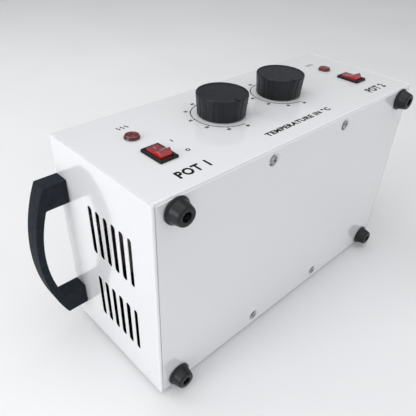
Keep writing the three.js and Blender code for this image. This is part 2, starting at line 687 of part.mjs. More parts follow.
function terminalBlock() {
  const height = 15;
  const screwWells = [-14, 0, 14].map((x) => rod(3, height - 6, height + 1).translate([x, 0, 0]));
  return cut(box(-22, 22, -8, 8, 0, height), ...screwWells);
}

// Sleeved leads from behind the inlet pins down to the end of the terminal block.
function supplyLead() {
  const start = [INLET_X, BACK - 26.5, BOTTOM + INLET_Z];
  const end = [BLOCK_X + 22.5, BLOCK_Y, PLATE_TOP + 8];
  return tube([
    start, [INLET_X, start[1] - 8, start[2] - 1], [INLET_X - 10, start[1] - 16, start[2] - 14],
    [end[0] + 12, BLOCK_Y + 2, end[2] + 6], [end[0] + 4, BLOCK_Y, end[2]], end,
  ], 3, 12, 6);
}

const inlet = group(warmer, [INLET_X, BACK, BOTTOM + INLET_Z]);
place(inlet, 'power_inlet', powerInlet(), BLACK_PLASTIC);
for (const [name, x, z] of PINS) {
  place(inlet, `inlet_pin_${name}`, box(-1, 1, -26, -2, -2, 2), BRASS, [x, 0, z]);
}
place(warmer, 'terminal_block', terminalBlock(), CREAM_PLASTIC, [BLOCK_X, BLOCK_Y, PLATE_TOP + GAP]);
place(warmer, 'supply_lead', supplyLead(), BLACK_PLASTIC);

export default warmer;
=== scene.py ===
"""Looks of the double wax warmer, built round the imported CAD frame.

Metres in Blender; shapes are drawn in millimetres and scaled once. +Z is up and the control panel faces -Y.
The warmer lies on its back on the floor, as it was photographed, so the floor is the plane behind the back.
"""

import math

import bmesh
import bpy
from mathutils import Matrix, Vector
from mathutils.geometry import delaunay_2d_cdt


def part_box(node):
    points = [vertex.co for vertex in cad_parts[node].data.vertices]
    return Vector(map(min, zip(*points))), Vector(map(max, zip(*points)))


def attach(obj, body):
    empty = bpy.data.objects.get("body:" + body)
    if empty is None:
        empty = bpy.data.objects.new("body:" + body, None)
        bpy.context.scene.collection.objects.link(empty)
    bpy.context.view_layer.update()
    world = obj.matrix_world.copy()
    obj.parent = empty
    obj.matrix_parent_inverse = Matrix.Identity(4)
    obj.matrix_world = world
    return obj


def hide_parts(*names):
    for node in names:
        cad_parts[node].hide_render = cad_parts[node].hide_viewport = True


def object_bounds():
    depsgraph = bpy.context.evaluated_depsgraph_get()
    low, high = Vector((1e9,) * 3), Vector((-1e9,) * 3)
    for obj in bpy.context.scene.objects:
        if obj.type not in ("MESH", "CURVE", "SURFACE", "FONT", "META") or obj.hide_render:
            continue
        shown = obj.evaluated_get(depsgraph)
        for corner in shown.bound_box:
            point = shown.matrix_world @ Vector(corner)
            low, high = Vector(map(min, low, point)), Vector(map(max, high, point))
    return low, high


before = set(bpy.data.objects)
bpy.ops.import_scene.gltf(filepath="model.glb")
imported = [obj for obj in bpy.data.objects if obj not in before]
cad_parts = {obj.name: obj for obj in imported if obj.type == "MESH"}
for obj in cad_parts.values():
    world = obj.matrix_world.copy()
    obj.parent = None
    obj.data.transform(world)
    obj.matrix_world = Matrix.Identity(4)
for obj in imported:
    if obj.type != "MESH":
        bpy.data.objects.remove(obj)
cad_box = [list(corner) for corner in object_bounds()]

MM = 0.001
SHEET = 1.2  # sheet steel
BEND = 2.0  # outside radius of a fold
GAP = 0.3  # clearance between touching pieces
ARC_STEPS = 8  # steps round a half slot or a quarter bend
HEAD = 2.0  # height of the small screw heads
SIDES = (("left", -1), ("right", 1))
ENDS = ("front", "rear")


def span(node):
    """Lowest and highest corner of a CAD node, in millimetres."""
    low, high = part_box(node)
    return Vector(low) / MM, Vector(high) / MM


def middle(node):
    low, high = span(node)
    return (low + high) / 2


WRAP_LOW, WRAP_HIGH = span("housing_wrap")
PLATE_LOW, PLATE_HIGH = span("base_plate")
FRONT, BACK = WRAP_LOW.y, WRAP_HIGH.y
TOP = WRAP_HIGH.z
BOTTOM = PLATE_LOW.z
SIDE = span("side_panel_right")[1].x


# ------------------------------------------------------------------ shapes


class Shape:
    """Vertices and faces of a mesh, in millimetres."""

    def __init__(self, verts=(), faces=()):
        self.verts = [Vector(v) for v in verts]
        self.faces = [tuple(f) for f in faces]

    def __add__(self, other):
        first = len(self.verts)
        faces = self.faces + [tuple(i + first for i in f) for f in other.faces]
        return Shape(self.verts + other.verts, faces)

    def placed(self, matrix):
        return Shape([matrix @ v for v in self.verts], self.faces)


def facing(origin, right, up):
    """Local frame on a face: +X to the right, +Y up and +Z out of it."""
    right, up = Vector(right), Vector(up)
    turn = Matrix((right, up, right.cross(up))).transposed().to_4x4()
    return Matrix.Translation(origin) @ turn


PANEL = facing((0, FRONT, BOTTOM), (1, 0, 0), (0, 0, 1))
UNDERSIDE = facing((0, 0, 0), (1, 0, 0), (0, -1, 0))
REAR = facing((0, BACK, 0), (-1, 0, 0), (0, 0, 1))


def flank(sx):
    """Frame of a side panel's outer face, seen from outside; its +X is sx times the row's +Y."""
    return facing((sx * SIDE, 0, 0), (0, sx, 0), (0, 0, 1))


def rounded(points, radius, steps=4, closed=False):
    """A line in the plane with its corners turned into arcs."""
    points = [Vector(p) for p in points]
    count = len(points)
    radii = radius if isinstance(radius, (list, tuple)) else [radius] * count
    made = []
    for i, p in enumerate(points):
        if (not closed and i in (0, count - 1)) or radii[i] <= 0:
            made.append(p)
            continue
        before, after = points[i - 1], points[(i + 1) % count]
        come, go = p - before, after - p
        reach = 0.48 * min(come.length, go.length)
        come, go = come.normalized(), go.normalized()
        turn = come.angle_signed(go) if come.length and go.length else 0
        if abs(turn) < 0.02:
            made.append(p)
            continue
        half = abs(turn) / 2
        back = min(radii[i] * math.tan(half), reach)
        r = back / math.tan(half)
        side = Vector((come.y, -come.x)) * (1 if turn > 0 else -1)
        for k in range(steps + 1):
            a = abs(turn) * k / steps
            made.append(p - come * back + side * r * (1 - math.cos(a)) + come * r * math.sin(a))
    return made


def circle(radius, count, x=0.0, y=0.0):
    return [
        Vector((x + radius * math.cos(math.tau * i / count), y + radius * math.sin(math.tau * i / count)))
        for i in range(count)
    ]


def rectangle(width, height, radius=0.0, steps=4, x=0.0, y=0.0):
    w, h = width / 2, height / 2
    corners = [(x - w, y - h), (x + w, y - h), (x + w, y + h), (x - w, y + h)]
    return rounded(corners, radius, steps, closed=True) if radius else [Vector(c) for c in corners]


def slot_hole(x, y, length, width):
    r, half = width / 2, (length - width) / 2
    ends = []
    for centre, start in ((x + half, -math.pi / 2), (x - half, math.pi / 2)):
        for i in range(ARC_STEPS + 1):
            a = start + math.pi * i / ARC_STEPS
            ends.append(Vector((centre + r * math.cos(a), y + r * math.sin(a))))
    return ends


def offset(loop, distance):
    """An anticlockwise loop moved inwards by distance."""
    made = []
    for i, p in enumerate(loop):
        a = (p - loop[i - 1]).normalized()
        b = (loop[(i + 1) % len(loop)] - p).normalized()
        normal = Vector((-a.y - b.y, a.x + b.x))
        if normal.length < 1e-9:
            made.append(p.copy())
            continue
        normal.normalize()
        spread = max(0.35, normal.dot(Vector((-a.y, a.x))))
        made.append(p + normal * distance / spread)
    return made


def inside(point, loop):
    odd = False
    x, y = point
    for i, a in enumerate(loop):
        b = loop[i - 1]
        if (a.y > y) != (b.y > y) and x < (b.x - a.x) * (y - a.y) / (b.y - a.y) + a.x:
            odd = not odd
    return odd


def plate(outer, holes, low, high, edge, steps, rings=(), lines=(), lift=None, place=None):
    """A flat or folded plate with holes and rounded edges.

    rings are loops of extra points, lines are pairs of indices of the outer loop joined across the plate,
    lift(u, v) raises both faces, and place(u, v, w) folds the plate.
    """
    loops = [list(outer), *[list(h) for h in holes]]
    rims = [offset(loops[0], edge), *[offset(h, -edge) for h in loops[1:]]]
    points, edges, firsts = [], [], []
    for rim in rims:
        firsts.append(len(points))
        edges += [(len(points) + i, len(points) + (i + 1) % len(rim)) for i in range(len(rim))]
        points += rim
    edges += list(lines)
    for ring in rings:
        edges += [(len(points) + i, len(points) + (i + 1) % len(ring)) for i in range(len(ring))]
        points += ring
    flat, _, faces, origin, _, _ = delaunay_2d_cdt(points, edges, [], 0, 1e-6)
    where = {}
    for new, olds in enumerate(origin):
        for old in olds:
            where[old] = new
    kept = []
    for face in faces:
        centre = sum((flat[i] for i in face), Vector((0, 0))) / len(face)
        if inside(centre, rims[0]) and not any(inside(centre, rim) for rim in rims[1:]):
            kept.append(tuple(face))
    place = place or (lambda u, v, w: (u, v, w))
    rise = lift or (lambda u, v: 0.0)
    count = len(flat)
    verts = [place(p.x, p.y, w + rise(p.x, p.y)) for w in (high, low) for p in flat]
    faces = kept + [tuple(count + i for i in reversed(face)) for face in kept]
    for loop, rim, first in zip(loops, rims, firsts):
        sections = []
        for k in range(1, steps + 1):
            a = math.pi / 2 * k / steps
            sections.append((math.sin(a), high - edge * (1 - math.cos(a))))
        for k in range(steps, 0, -1):
            a = math.pi / 2 * k / steps
            sections.append((math.sin(a), low + edge * (1 - math.cos(a))))
        size = len(loop)
        rows = [[where[first + i] for i in range(size)]]
        for out, w in sections:
            row = []
            for p, q in zip(loop, rim):
                u, v = q.x + (p.x - q.x) * out, q.y + (p.y - q.y) * out
                row.append(len(verts))
                verts.append(place(u, v, w + rise(u, v)))
            rows.append(row)
        rows.append([count + where[first + i] for i in range(size)])
        for a, b in zip(rows, rows[1:]):
            faces += [(a[i], a[(i + 1) % size], b[(i + 1) % size], b[i]) for i in range(size)]
    return Shape(verts, faces)


def skin(rows, closed=False):
    """A skin over rows of points, each row a loop; an open one is capped at both ends."""
    size = len(rows[0])
    verts = [v for row in rows for v in row]
    faces = []
    pairs = list(zip(range(len(rows)), range(1, len(rows))))
    if closed:
        pairs.append((len(rows) - 1, 0))
    for a, b in pairs:
        for i in range(size):
            j = (i + 1) % size
            faces.append((a * size + i, a * size + j, b * size + j, b * size + i))
    if not closed:
        faces.append(tuple(range(size)))
        faces.append(tuple(range(len(verts) - size, len(verts))))
    return Shape(verts, faces)


def turned(profile, sides, closed=False, wave=None):
    """A turned piece about Z from (radius, height) points; wave(radius, height, angle) adds to the radius."""
    rows = []
    for r, z in profile:
        if r < 1e-6:
            continue
        row = []
        for i in range(sides):
            a = math.tau * i / sides
            radius = r + (wave(r, z, a) if wave else 0.0)
            row.append(Vector((radius * math.cos(a), radius * math.sin(a), z)))
        rows.append(row)
    return skin(rows, closed=closed)


def swept(path, radius, sides):
    """A round wire along a path."""
    path = [Vector(p) for p in path]
    rows, up = [], None
    for i, p in enumerate(path):
        ahead = path[min(i + 1, len(path) - 1)]
        behind = path[max(i - 1, 0)]
        along = (ahead - behind).normalized()
        if up is None:
            up = along.orthogonal().normalized()
        up = (up - along * up.dot(along)).normalized()
        side = along.cross(up)
        rows.append([
            p + (up * math.cos(math.tau * k / sides) + side * math.sin(math.tau * k / sides)) * radius
            for k in range(sides)
        ])
    return skin(rows)


def tray(sections):
    """A hollow moulding: loops of equal length at heights, from the floor of its pocket to its underside."""
    return skin([[Vector((p.x, p.y, z)) for p in loop] for loop, z in sections])


# ------------------------------------------------------------------ objects


def mesh_object(name, shape):
    mesh = bpy.data.meshes.new(name)
    mesh.from_pydata([v * MM for v in shape.verts], [], shape.faces)
    made = bmesh.new()
    made.from_mesh(mesh)
    bmesh.ops.remove_doubles(made, verts=made.verts, dist=2e-6)
    bmesh.ops.dissolve_degenerate(made, edges=made.edges, dist=1e-7)
    bmesh.ops.recalc_face_normals(made, faces=made.faces)
    made.to_mesh(mesh)
    made.free()
    thing = bpy.data.objects.new(name, mesh)
    bpy.context.collection.objects.link(thing)
    return thing


def carve(thing, *cutters):
    """Cuts each cutter shape out of an object."""
    tools = []
    for cutter in cutters:
        tool = mesh_object(thing.name + "_tool", cutter)
        change = thing.modifiers.new("carve", "BOOLEAN")
        change.operation = "DIFFERENCE"
        change.solver = "EXACT"
        change.object = tool
        tools.append(tool)
    ready = thing.evaluated_get(bpy.context.evaluated_depsgraph_get())
    mesh = bpy.data.meshes.new_from_object(ready)
    thing.modifiers.clear()
    thing.data = mesh
    for tool in tools:
        bpy.data.objects.remove(tool, do_unlink=True)


def piece(name, shape, material, body, slot, *nodes, sharp=42.0, cutters=(), matrix=None):
    """One finished piece: it rides on a body and stands for CAD nodes."""
    thing = mesh_object(name, shape)
    if cutters:
        carve(thing, *cutters)
    if matrix:
        scaled = matrix.copy()
        scaled.translation = matrix.translation * MM
        thing.data.transform(scaled)
    mesh = thing.data
    mesh.shade_smooth()
    mesh.set_sharp_from_angle(angle=math.radians(sharp))
    mesh.materials.clear()
    mesh.materials.append(material)
    even = thing.modifiers.new("even", "WEIGHTED_NORMAL")
    even.keep_sharp = True
    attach(thing, body)
    if nodes:
        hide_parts(*nodes)
    return thing


# ------------------------------------------------------------------ materials


def add_node(tree, kind, feeds, values=None, **settings):
    """A new shader node: its settings made, its inputs fed from other outputs and given values."""
    made = tree.nodes.new("ShaderNode" + kind)
    for name, value in settings.items():
        setattr(made, name, value)
    for socket, source in feeds.items():
        tree.links.new(source, made.inputs[socket])
    for socket, value in (values or {}).items():
        made.inputs[socket].default_value = value
    return made


class Finish:
    """A Principled material that is built up from procedural layers."""

    def __init__(self, name, **sockets):
        self.material = bpy.data.materials.new(name)
        self.material.use_nodes = True
        self.tree = self.material.node_tree
        self.shader = self.tree.nodes["Principled BSDF"]
        for socket, value in sockets.items():
            self.shader.inputs[socket.replace("_", " ")].default_value = value
        self.place = self.node("TexCoord", {}).outputs["Object"]
        self.normal = None

    def node(self, kind, feeds, values=None, **settings):
        return add_node(self.tree, kind, feeds, values, **settings)

    def send(self, source, socket):
        self.tree.links.new(source, self.shader.inputs[socket])

    def noise(self, scale, detail, roughness=0.5, stretch=None):
        source = self.place
        if stretch:
            source = self.node("Mapping", {"Vector": source}, {"Scale": stretch}).outputs["Vector"]
        values = {"Scale": scale, "Detail": detail, "Roughness": roughness}
        return self.node("TexNoise", {"Vector": source}, values).outputs["Fac"]

    def rings(self, centre, scale):
        """Fine turning marks round an upright axis."""
        values = {"Location": (-centre[0], -centre[1], 0), "Scale": (1, 1, 0)}
        flat = self.node("Mapping", {"Vector": self.place}, values).outputs["Vector"]
        away = self.node("VectorMath", {0: flat}, operation="LENGTH").outputs["Value"]
        values = {"Scale": scale, "Detail": 3}
        return self.node("TexNoise", {"W": away}, values, noise_dimensions="1D").outputs["Fac"]

    def ramp(self, fac, low, high, start=0.3, end=0.7):
        """Spreads a factor between two colours or two values."""
        ramp = self.node("ValToRGB", {"Fac": fac})
        for element, value, position in zip(ramp.color_ramp.elements, (low, high), (start, end)):
            colour = value if isinstance(value, (tuple, list)) else (value, value, value)
            element.color = (*colour, 1)
            element.position = position
        return ramp.outputs["Color"]

    def colour(self, fac, low, high, start=0.3, end=0.7):
        self.send(self.ramp(fac, low, high, start, end), "Base Color")

    def rough(self, fac, low, high):
        self.send(self.ramp(fac, low, high), "Roughness")

    def within(self, centre, half):
        """1 inside a box, 0 outside it."""
        shift = self.node("VectorMath", {0: self.place}, {1: centre}, operation="SUBTRACT")
        away = self.node("VectorMath", {0: shift.outputs["Vector"]}, operation="ABSOLUTE")
        past = self.node("VectorMath", {0: away.outputs["Vector"]}, {1: half}, operation="SUBTRACT")
        parts = self.node("SeparateXYZ", {"Vector": past.outputs["Vector"]}).outputs
        most = self.node("Math", {0: parts["X"], 1: parts["Y"]}, operation="MAXIMUM").outputs["Value"]
        most = self.node("Math", {0: most, 1: parts["Z"]}, operation="MAXIMUM").outputs["Value"]
        return self.node("Math", {0: most}, {1: 0.0}, operation="LESS_THAN").outputs["Value"]

    def facing(self, axis, low, high):
        """1 where a face's normal is below low along an axis, falling to 0 at high."""
        normal = self.node("NewGeometry", {}).outputs["Normal"]
        along = self.node("SeparateXYZ", {"Vector": normal}).outputs[axis]
        values = {"From Min": low, "From Max": high, "To Min": 1.0, "To Max": 0.0}
        return self.node("MapRange", {"Value": along}, values).outputs["Result"]

    def cover(self, under, over, mask):
        """Lays one colour over another through a mask."""
        mix = self.node("Mix", {"Factor": mask, "A": under}, {"B": (*over, 1)}, data_type="RGBA")
        self.send(mix.outputs["Result"], "Base Color")
        return mix.outputs["Result"]

    def bump(self, fac, strength, distance):
        feeds = {"Height": fac}
        if self.normal:
            feeds["Normal"] = self.normal
        values = {"Strength": strength, "Distance": distance}
        self.normal = self.node("Bump", feeds, values).outputs["Normal"]
        self.send(self.normal, "Normal")


# near-black painted shade for the housing's inner faces, so that the vents look dark
INSIDE_PAINTED_SHADE = (0.012, 0.012, 0.013)
PAINT_DRIFT = 0.985  # darkest patch of the paint against its own tone


def white_paint(name, tone, low, high):
    """Gloss powder coat with faint orange peel, and near-black painted shade on everything inside the box
    between the corners low and high, in mm, standing in for the shade inside the housing.
    """
    f = Finish(name, Specular_IOR_Level=0.8, Coat_Weight=0.8, Coat_Roughness=0.06)
    low, high = Vector(low) * MM, Vector(high) * MM
    paint = f.ramp(f.noise(7, 3), tuple(c * PAINT_DRIFT for c in tone), tone)
    # painted shade: the inner faces inside the box are coloured near-black
    f.cover(paint, INSIDE_PAINTED_SHADE, f.within((low + high) / 2, (high - low) / 2))
    f.rough(f.noise(40, 3), 0.12, 0.18)
    f.bump(f.noise(900, 1, 0.4), 0.035, 0.00002)
    return f.material


def moulded_plastic(name, dark, light, low, high, grain=1500, depth=0.16, level=0.5):
    """Moulded plastic with a fine spark-eroded grain."""
    f = Finish(name, Specular_IOR_Level=level)
    f.colour(f.noise(160, 4), dark, light)
    f.rough(f.noise(240, 3), low, high)
    f.bump(f.noise(grain, 3, 0.6), depth, 0.00006)
    return f.material


def foot_rubber():
    f = Finish("foot_rubber", Specular_IOR_Level=0.35)
    f.colour(f.noise(220, 5), (0.003, 0.004, 0.006), (0.007, 0.009, 0.013))
    f.rough(f.noise(300, 4), 0.3, 0.45)
    f.bump(f.noise(900, 4, 0.6), 0.2, 0.0001)
    return f.material


def red_plastic(name, dark, light, rough=0.16, edge=None, spread=0.2):
    """Tinted glossy plastic; with an edge colour, faces turned to -Z and -X, away from the front, get a
    brighter red painted on: a painted glow standing in for light through the plastic.
    """
    f = Finish(name, Specular_IOR_Level=0.6, Coat_Weight=0.6, Coat_Roughness=0.05)
    if edge:
        uneven = f.ramp(f.noise(260, 3), dark, light)
        # painted glow: the edge colour is laid on faces turned to -Z and to -X
        f.cover(f.cover(uneven, edge, f.facing("Z", -0.92, -0.78)), edge, f.facing("X", -0.92, -0.7))
    else:
        f.colour(f.noise(260, 3), dark, light, 0.5 - spread, 0.5 + spread)
    f.rough(f.noise(400, 2), rough, rough + 0.1)
    f.bump(f.noise(700, 2), 0.06, 0.00006)
    return f.material


def metal(name, dark, light, low, high, scale=900, stretch=None):
    f = Finish(name, Metallic=1.0)
    f.colour(f.noise(scale * 0.25, 4, stretch=stretch), dark, light)
    f.rough(f.noise(scale * 0.5, 3, stretch=stretch), low, high)
    f.bump(f.noise(scale, 4, 0.6, stretch=stretch), 0.12, 0.00004)
    return f.material


def spun_aluminium(name, centre, low, high):
    """Spun aluminium: turning marks round the pot's own axis."""
    f = Finish(name, Metallic=1.0)
    f.colour(f.rings(centre, 900), (0.70, 0.71, 0.72), (0.82, 0.83, 0.84))
    f.rough(f.noise(70, 4), low, high)
    f.bump(f.rings(centre, 1500), 0.25, 0.00004)
    f.bump(f.noise(300, 3), 0.04, 0.0001)
    return f.material


SKIN = 1.0  # how far the white paint reaches round an edge before the painted shade inside begins
MARGIN = 14.0  # white border of the inner faces next to the joints, left free of the painted shade
WHITE = (0.80, 0.805, 0.82)
BASE_WHITE = (0.775, 0.78, 0.79)
PAINT = white_paint(
    "housing_paint", WHITE, (-SIDE + MARGIN, FRONT + SKIN, WRAP_LOW.z + SKIN),
    (SIDE - MARGIN, BACK - SKIN, TOP - SKIN))
PANEL_PAINT = white_paint(
    "side_paint", WHITE, (-SIDE + SKIN / 2, FRONT + MARGIN, BOTTOM + MARGIN),
    (SIDE - SKIN / 2, BACK - MARGIN, TOP - MARGIN))
BASE_PAINT = white_paint(
    "base_paint", BASE_WHITE, (-SIDE + MARGIN, FRONT + MARGIN, BOTTOM + SKIN),
    (SIDE - MARGIN, BACK - MARGIN, TOP))
HANDLE_PLASTIC = moulded_plastic(
    "handle_plastic", (0.017, 0.021, 0.027), (0.025, 0.030, 0.037), 0.5, 0.66, level=0.04)
KNOB_PLASTIC = moulded_plastic(
    "knob_plastic", (0.006, 0.008, 0.011), (0.010, 0.013, 0.017), 0.34, 0.46, level=0.3)
SWITCH_PLASTIC = moulded_plastic(
    "switch_plastic", (0.005, 0.006, 0.008), (0.009, 0.011, 0.014), 0.3, 0.4, level=0.22)
RUBBER = foot_rubber()
# the third colour is a painted glow on the rocker's faces turned to -Z and -X
ROCKER_RED = red_plastic("rocker_red", (0.19, 0.016, 0.024), (0.27, 0.03, 0.04), edge=(0.52, 0.03, 0.024))
LENS_RED = red_plastic("lens_red", (0.035, 0.003, 0.005), (0.27, 0.016, 0.022), 0.1, spread=0.07)
LAMP_RED = red_plastic("lamp_body_red", (0.07, 0.004, 0.006), (0.13, 0.008, 0.012), 0.22)
ZINC = metal("zinc_plate", (0.30, 0.31, 0.32), (0.52, 0.52, 0.53), 0.2, 0.36)
WIRE = metal("bail_wire", (0.60, 0.60, 0.61), (0.74, 0.74, 0.75), 0.18, 0.3, 500, (1, 1, 6))
BRASS = metal("pin_brass", (0.62, 0.44, 0.17), (0.78, 0.58, 0.26), 0.2, 0.36)
COPPER = metal("capillary_copper", (0.55, 0.25, 0.14), (0.72, 0.38, 0.24), 0.28, 0.45)
HEATER = metal("heater_wrap", (0.36, 0.34, 0.31), (0.52, 0.50, 0.46), 0.35, 0.6, 300, (1, 1, 14))
CREAM = moulded_plastic("cream_plastic", (0.62, 0.57, 0.44), (0.72, 0.68, 0.55), 0.4, 0.55)
SLEEVE = moulded_plastic("lead_sleeve", (0.012, 0.012, 0.014), (0.03, 0.03, 0.033), 0.45, 0.6)
INK = moulded_plastic("print_ink", (0.004, 0.004, 0.005), (0.008, 0.008, 0.010), 0.5, 0.6, 900, 0.05, 0.1)
MARK_INK = moulded_plastic("mark_ink", (0.42, 0.20, 0.22), (0.50, 0.26, 0.28), 0.4, 0.5, 900, 0.05)


def dress(material, *nodes):
    """Gives carried-over CAD nodes their finish."""
    for node in nodes:
        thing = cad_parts[node]
        thing.data.materials.clear()
        thing.data.materials.append(material)


# ------------------------------------------------------------------ housing sheets


DIMPLE_FLOOR = 5.3
DIMPLE_EDGE = 7.2
DIMPLE_DEPTH = 1.2
LIP_WIDTH = 23.0
JOINT = 0.08  # closed joint between two painted sheets
PLATE_GROWTH = 0.2  # how far the base plate's paint closes the gap at each side
SCREW_BORE = 2.2
WRAP_DIMPLE_GROWTH = 1.5  # the wrap's dimples are wider, so that the base plate's nest in them


def dimple_rise(distance, grow=0.0):
    """How far a dimple pushes the sheet in, at a distance from its middle."""
    t = (distance - DIMPLE_FLOOR - grow) / (DIMPLE_EDGE - DIMPLE_FLOOR)
    t = min(1.0, max(0.0, t))
    return DIMPLE_DEPTH * (1 - t * t * (3 - 2 * t))


base_screws = [middle(f"base_screw_{end}_{side}") for side, _ in SIDES for end in ENDS]
feet = [middle(f"foot_{end}_{side}") for side, _ in SIDES for end in ENDS]


def base_plate():
    """The base plate in the underside's frame, with a pressed dimple round each screw."""
    width, depth = PLATE_HIGH.x - PLATE_LOW.x + 2 * PLATE_GROWTH, PLATE_HIGH.y - PLATE_LOW.y
    centre_y = -(PLATE_HIGH.y + PLATE_LOW.y) / 2
    outer = rectangle(width, depth, 0.8, 3, 0, centre_y)
    screws = [(c.x, -c.y) for c in base_screws]
    holes = [circle(SCREW_BORE, 32, x, y) for x, y in screws]
    holes += [circle(2.3, 24, c.x, -c.y) for c in feet]
    radii = (4.6, 5.3, 5.7, 6.1, 6.5, 6.9, 7.2, 7.7)
    rings = [circle(r, 64, x, y) for x, y in screws for r in radii]

    def lift(u, v):
        return -sum(dimple_rise(math.hypot(u - x, v - y)) for x, y in screws)

    low = -BOTTOM - SHEET - GAP + JOINT
    return plate(outer, holes, low, -BOTTOM, 0.7, 4, rings=rings, lift=lift)


def ahead_of(heading):
    return Vector((math.cos(heading), math.sin(heading)))


def left_of(heading):
    return Vector((-math.sin(heading), math.cos(heading)))


def fold_line(lengths):
    """Stretches (start, length, position, heading, bend radius) of a line that turns right between lengths."""
    parts = []
    position, heading = Vector((FRONT + LIP_WIDTH, WRAP_LOW.z)), math.pi
    start = 0.0
    for index, length in enumerate(lengths):
        parts.append((start, length, position.copy(), heading, 0.0))
        position += ahead_of(heading) * length
        start += length
        if index == len(lengths) - 1:
            break
        arc = BEND * math.pi / 2
        parts.append((start, arc, position.copy(), heading, BEND))
        position += (ahead_of(heading) - left_of(heading)) * BEND
        heading -= math.pi / 2
        start += arc
    return parts


def on_fold(parts, u):
    """Point and outward normal at a distance u along the folded line."""
    for start, length, position, heading, radius in parts:
        if u <= start + length + 1e-6:
            break
    s = u - start
    if radius == 0:
        return position + ahead_of(heading) * s, left_of(heading)
    normal = left_of(heading - s / radius)
    return position + (normal - left_of(heading)) * radius, normal


def housing_wrap():
    """Front, top, back and bottom lips in one folded sheet, cut flat with its holes and then bent."""
    upright = TOP - WRAP_LOW.z - 2 * BEND
    deep = BACK - FRONT - 2 * BEND
    lip = LIP_WIDTH - BEND
    arc = BEND * math.pi / 2
    parts = fold_line([lip, upright, deep, upright, lip])
    front_u, top_u = lip + arc, lip + 2 * arc + upright
    back_u = top_u + deep + arc
    total = 2 * lip + 2 * upright + deep + 4 * arc
    stations = []
    for start, length, _, _, radius in parts:
        if radius:
            stations += [start + length * k / ARC_STEPS for k in range(ARC_STEPS + 1)]
    half = SIDE - SHEET - JOINT
    outer = [Vector((0, -half)), *[Vector((u, -half)) for u in stations], Vector((total, -half))]
    outer += [Vector((total, half)), *[Vector((u, half)) for u in reversed(stations)], Vector((0, half))]
    last = len(outer) - 1
    lines = [(1 + i, last - 1 - i) for i in range(len(stations))]

    def front(z):
        return front_u + z - WRAP_LOW.z - BEND

    holes, rings = [], []
    for side, _ in SIDES:
        lamp, knob = middle(f"lamp_body_{side}"), middle(f"knob_{side}")
        switch, well = middle(f"switch_body_{side}"), middle(f"heating_well_{side}")
        holes.append(circle(5.2, 32, front(lamp.z), lamp.x))
        holes.append(circle(5.0, 32, front(knob.z), knob.x))
        holes.append(rectangle(25.8, 17.8, 0.6, 3, front(switch.z), switch.x))
        holes.append(circle(68.5, 160, top_u + well.y - FRONT - BEND, well.x))
    inlet = middle("power_inlet")
    holes.append(rectangle(20.8, 28.0, 0.8, 3, back_u + TOP - BEND - inlet.z, inlet.x))
    dimples = []
    for c in base_screws + feet:
        near_front = c.y < (FRONT + BACK) / 2
        u = LIP_WIDTH - (c.y - FRONT) if near_front else total - LIP_WIDTH + (BACK - c.y)
        holes.append(circle(SCREW_BORE, 24, u, c.x))
        if c in base_screws:
            dimples.append((u, c.x))
            rings += [circle(r, 48, u, c.x) for r in (6.6, 7.1, 7.6, 8.1, 8.6)]

    def lift(u, v):
        if front_u < u < total - front_u:
            return 0.0
        return -sum(dimple_rise(math.hypot(u - x, v - y), WRAP_DIMPLE_GROWTH) for x, y in dimples)

    def place(u, v, w):
        point, normal = on_fold(parts, u)
        flat = point + normal * (w - SHEET)
        return Vector((v, flat.x, flat.y))

    return plate(outer, holes, 0, SHEET, 0.4, 3, rings=rings, lines=lines, lift=lift, place=place)


SLOT_ROWS = 6
SLOT_TOP_Z = 89.3
SLOT_PITCH = 11.45
SLOT_LENGTH = 52.4
SLOT_WIDTH = 6.2
LAST_SLOT_WIDTH = 5.0
SLOT_GROUP_Y = 41.0
SIDE_RETURN = 10.0
PANEL_TURN = 2.7


def side_panel(side, sx):
    """Side panel in its outer face's frame: vents, a bottom edge folded in, and a return inside the housing."""
    low, high = span(f"side_panel_{side}")
    centre = sx * middle(f"handle_{side}").y
    ends = sorted((sx * low.y, sx * high.y))
    arc = BEND * math.pi / 2
    knee = low.z + BEND
    bends = [knee - arc * k / ARC_STEPS for k in range(ARC_STEPS + 1)]
    foot_edge = knee - arc - (PANEL_TURN - BEND)
    corners = [(ends[0], foot_edge), (ends[1], foot_edge), *[(ends[1], z) for z in reversed(bends)],
               (ends[1], high.z), (ends[0], high.z), *[(ends[0], z) for z in bends]]
    radii = [0.0] * (2 + len(bends)) + [BEND, BEND] + [0.0] * len(bends)
    outer = rounded(corners, radii, 6, closed=True)
    last = len(outer) - 1
    lines = [(2 + k, last - k) for k in range(len(bends))]
    holes = []
    for row in range(SLOT_ROWS):
        width = LAST_SLOT_WIDTH if row == SLOT_ROWS - 1 else SLOT_WIDTH
        for group in (-1, 1):
            z = BOTTOM + SLOT_TOP_Z - row * SLOT_PITCH
            holes.append(slot_hole(centre + group * SLOT_GROUP_Y, z, SLOT_LENGTH, width))

    def place(u, v, w):
        """Folds what is drawn below the knee in under the housing."""
        if v >= knee:
            return Vector((u, v, w))
        turn = min((knee - v) / BEND, math.pi / 2)
        straight = max(0.0, knee - v - arc)
        r = BEND + w
        return Vector((u, knee - r * math.sin(turn), -BEND + r * math.cos(turn) - straight))

    for end in ENDS:
        screw = middle(f"handle_screw_{end}_{side}")
        holes.append(circle(2.6, 24, sx * screw.y, screw.z))
    skin_plate = plate(outer, holes, -SHEET, 0, 0.35, 3, lines=lines, place=place)
    inset = SHEET + GAP
    line = [
        (ends[0] + inset, BOTTOM + SHEET + GAP + inset), (ends[0] + inset, high.z - inset),
        (ends[1] - inset, high.z - inset), (ends[1] - inset, BOTTOM + SHEET + GAP + inset),
    ]
    outside = rounded(line, BEND, 6)
    within = [(line[0][0] + SHEET, line[0][1]), (line[1][0] + SHEET, line[1][1] - SHEET),
              (line[2][0] - SHEET, line[2][1] - SHEET), (line[3][0] - SHEET, line[3][1])]
    band = list(reversed(outside + list(reversed(rounded(within, BEND - SHEET, 6)))))
    folded = plate(band, (), -SHEET - SIDE_RETURN, -SHEET / 2, 0.2, 2)
    return skin_plate + folded


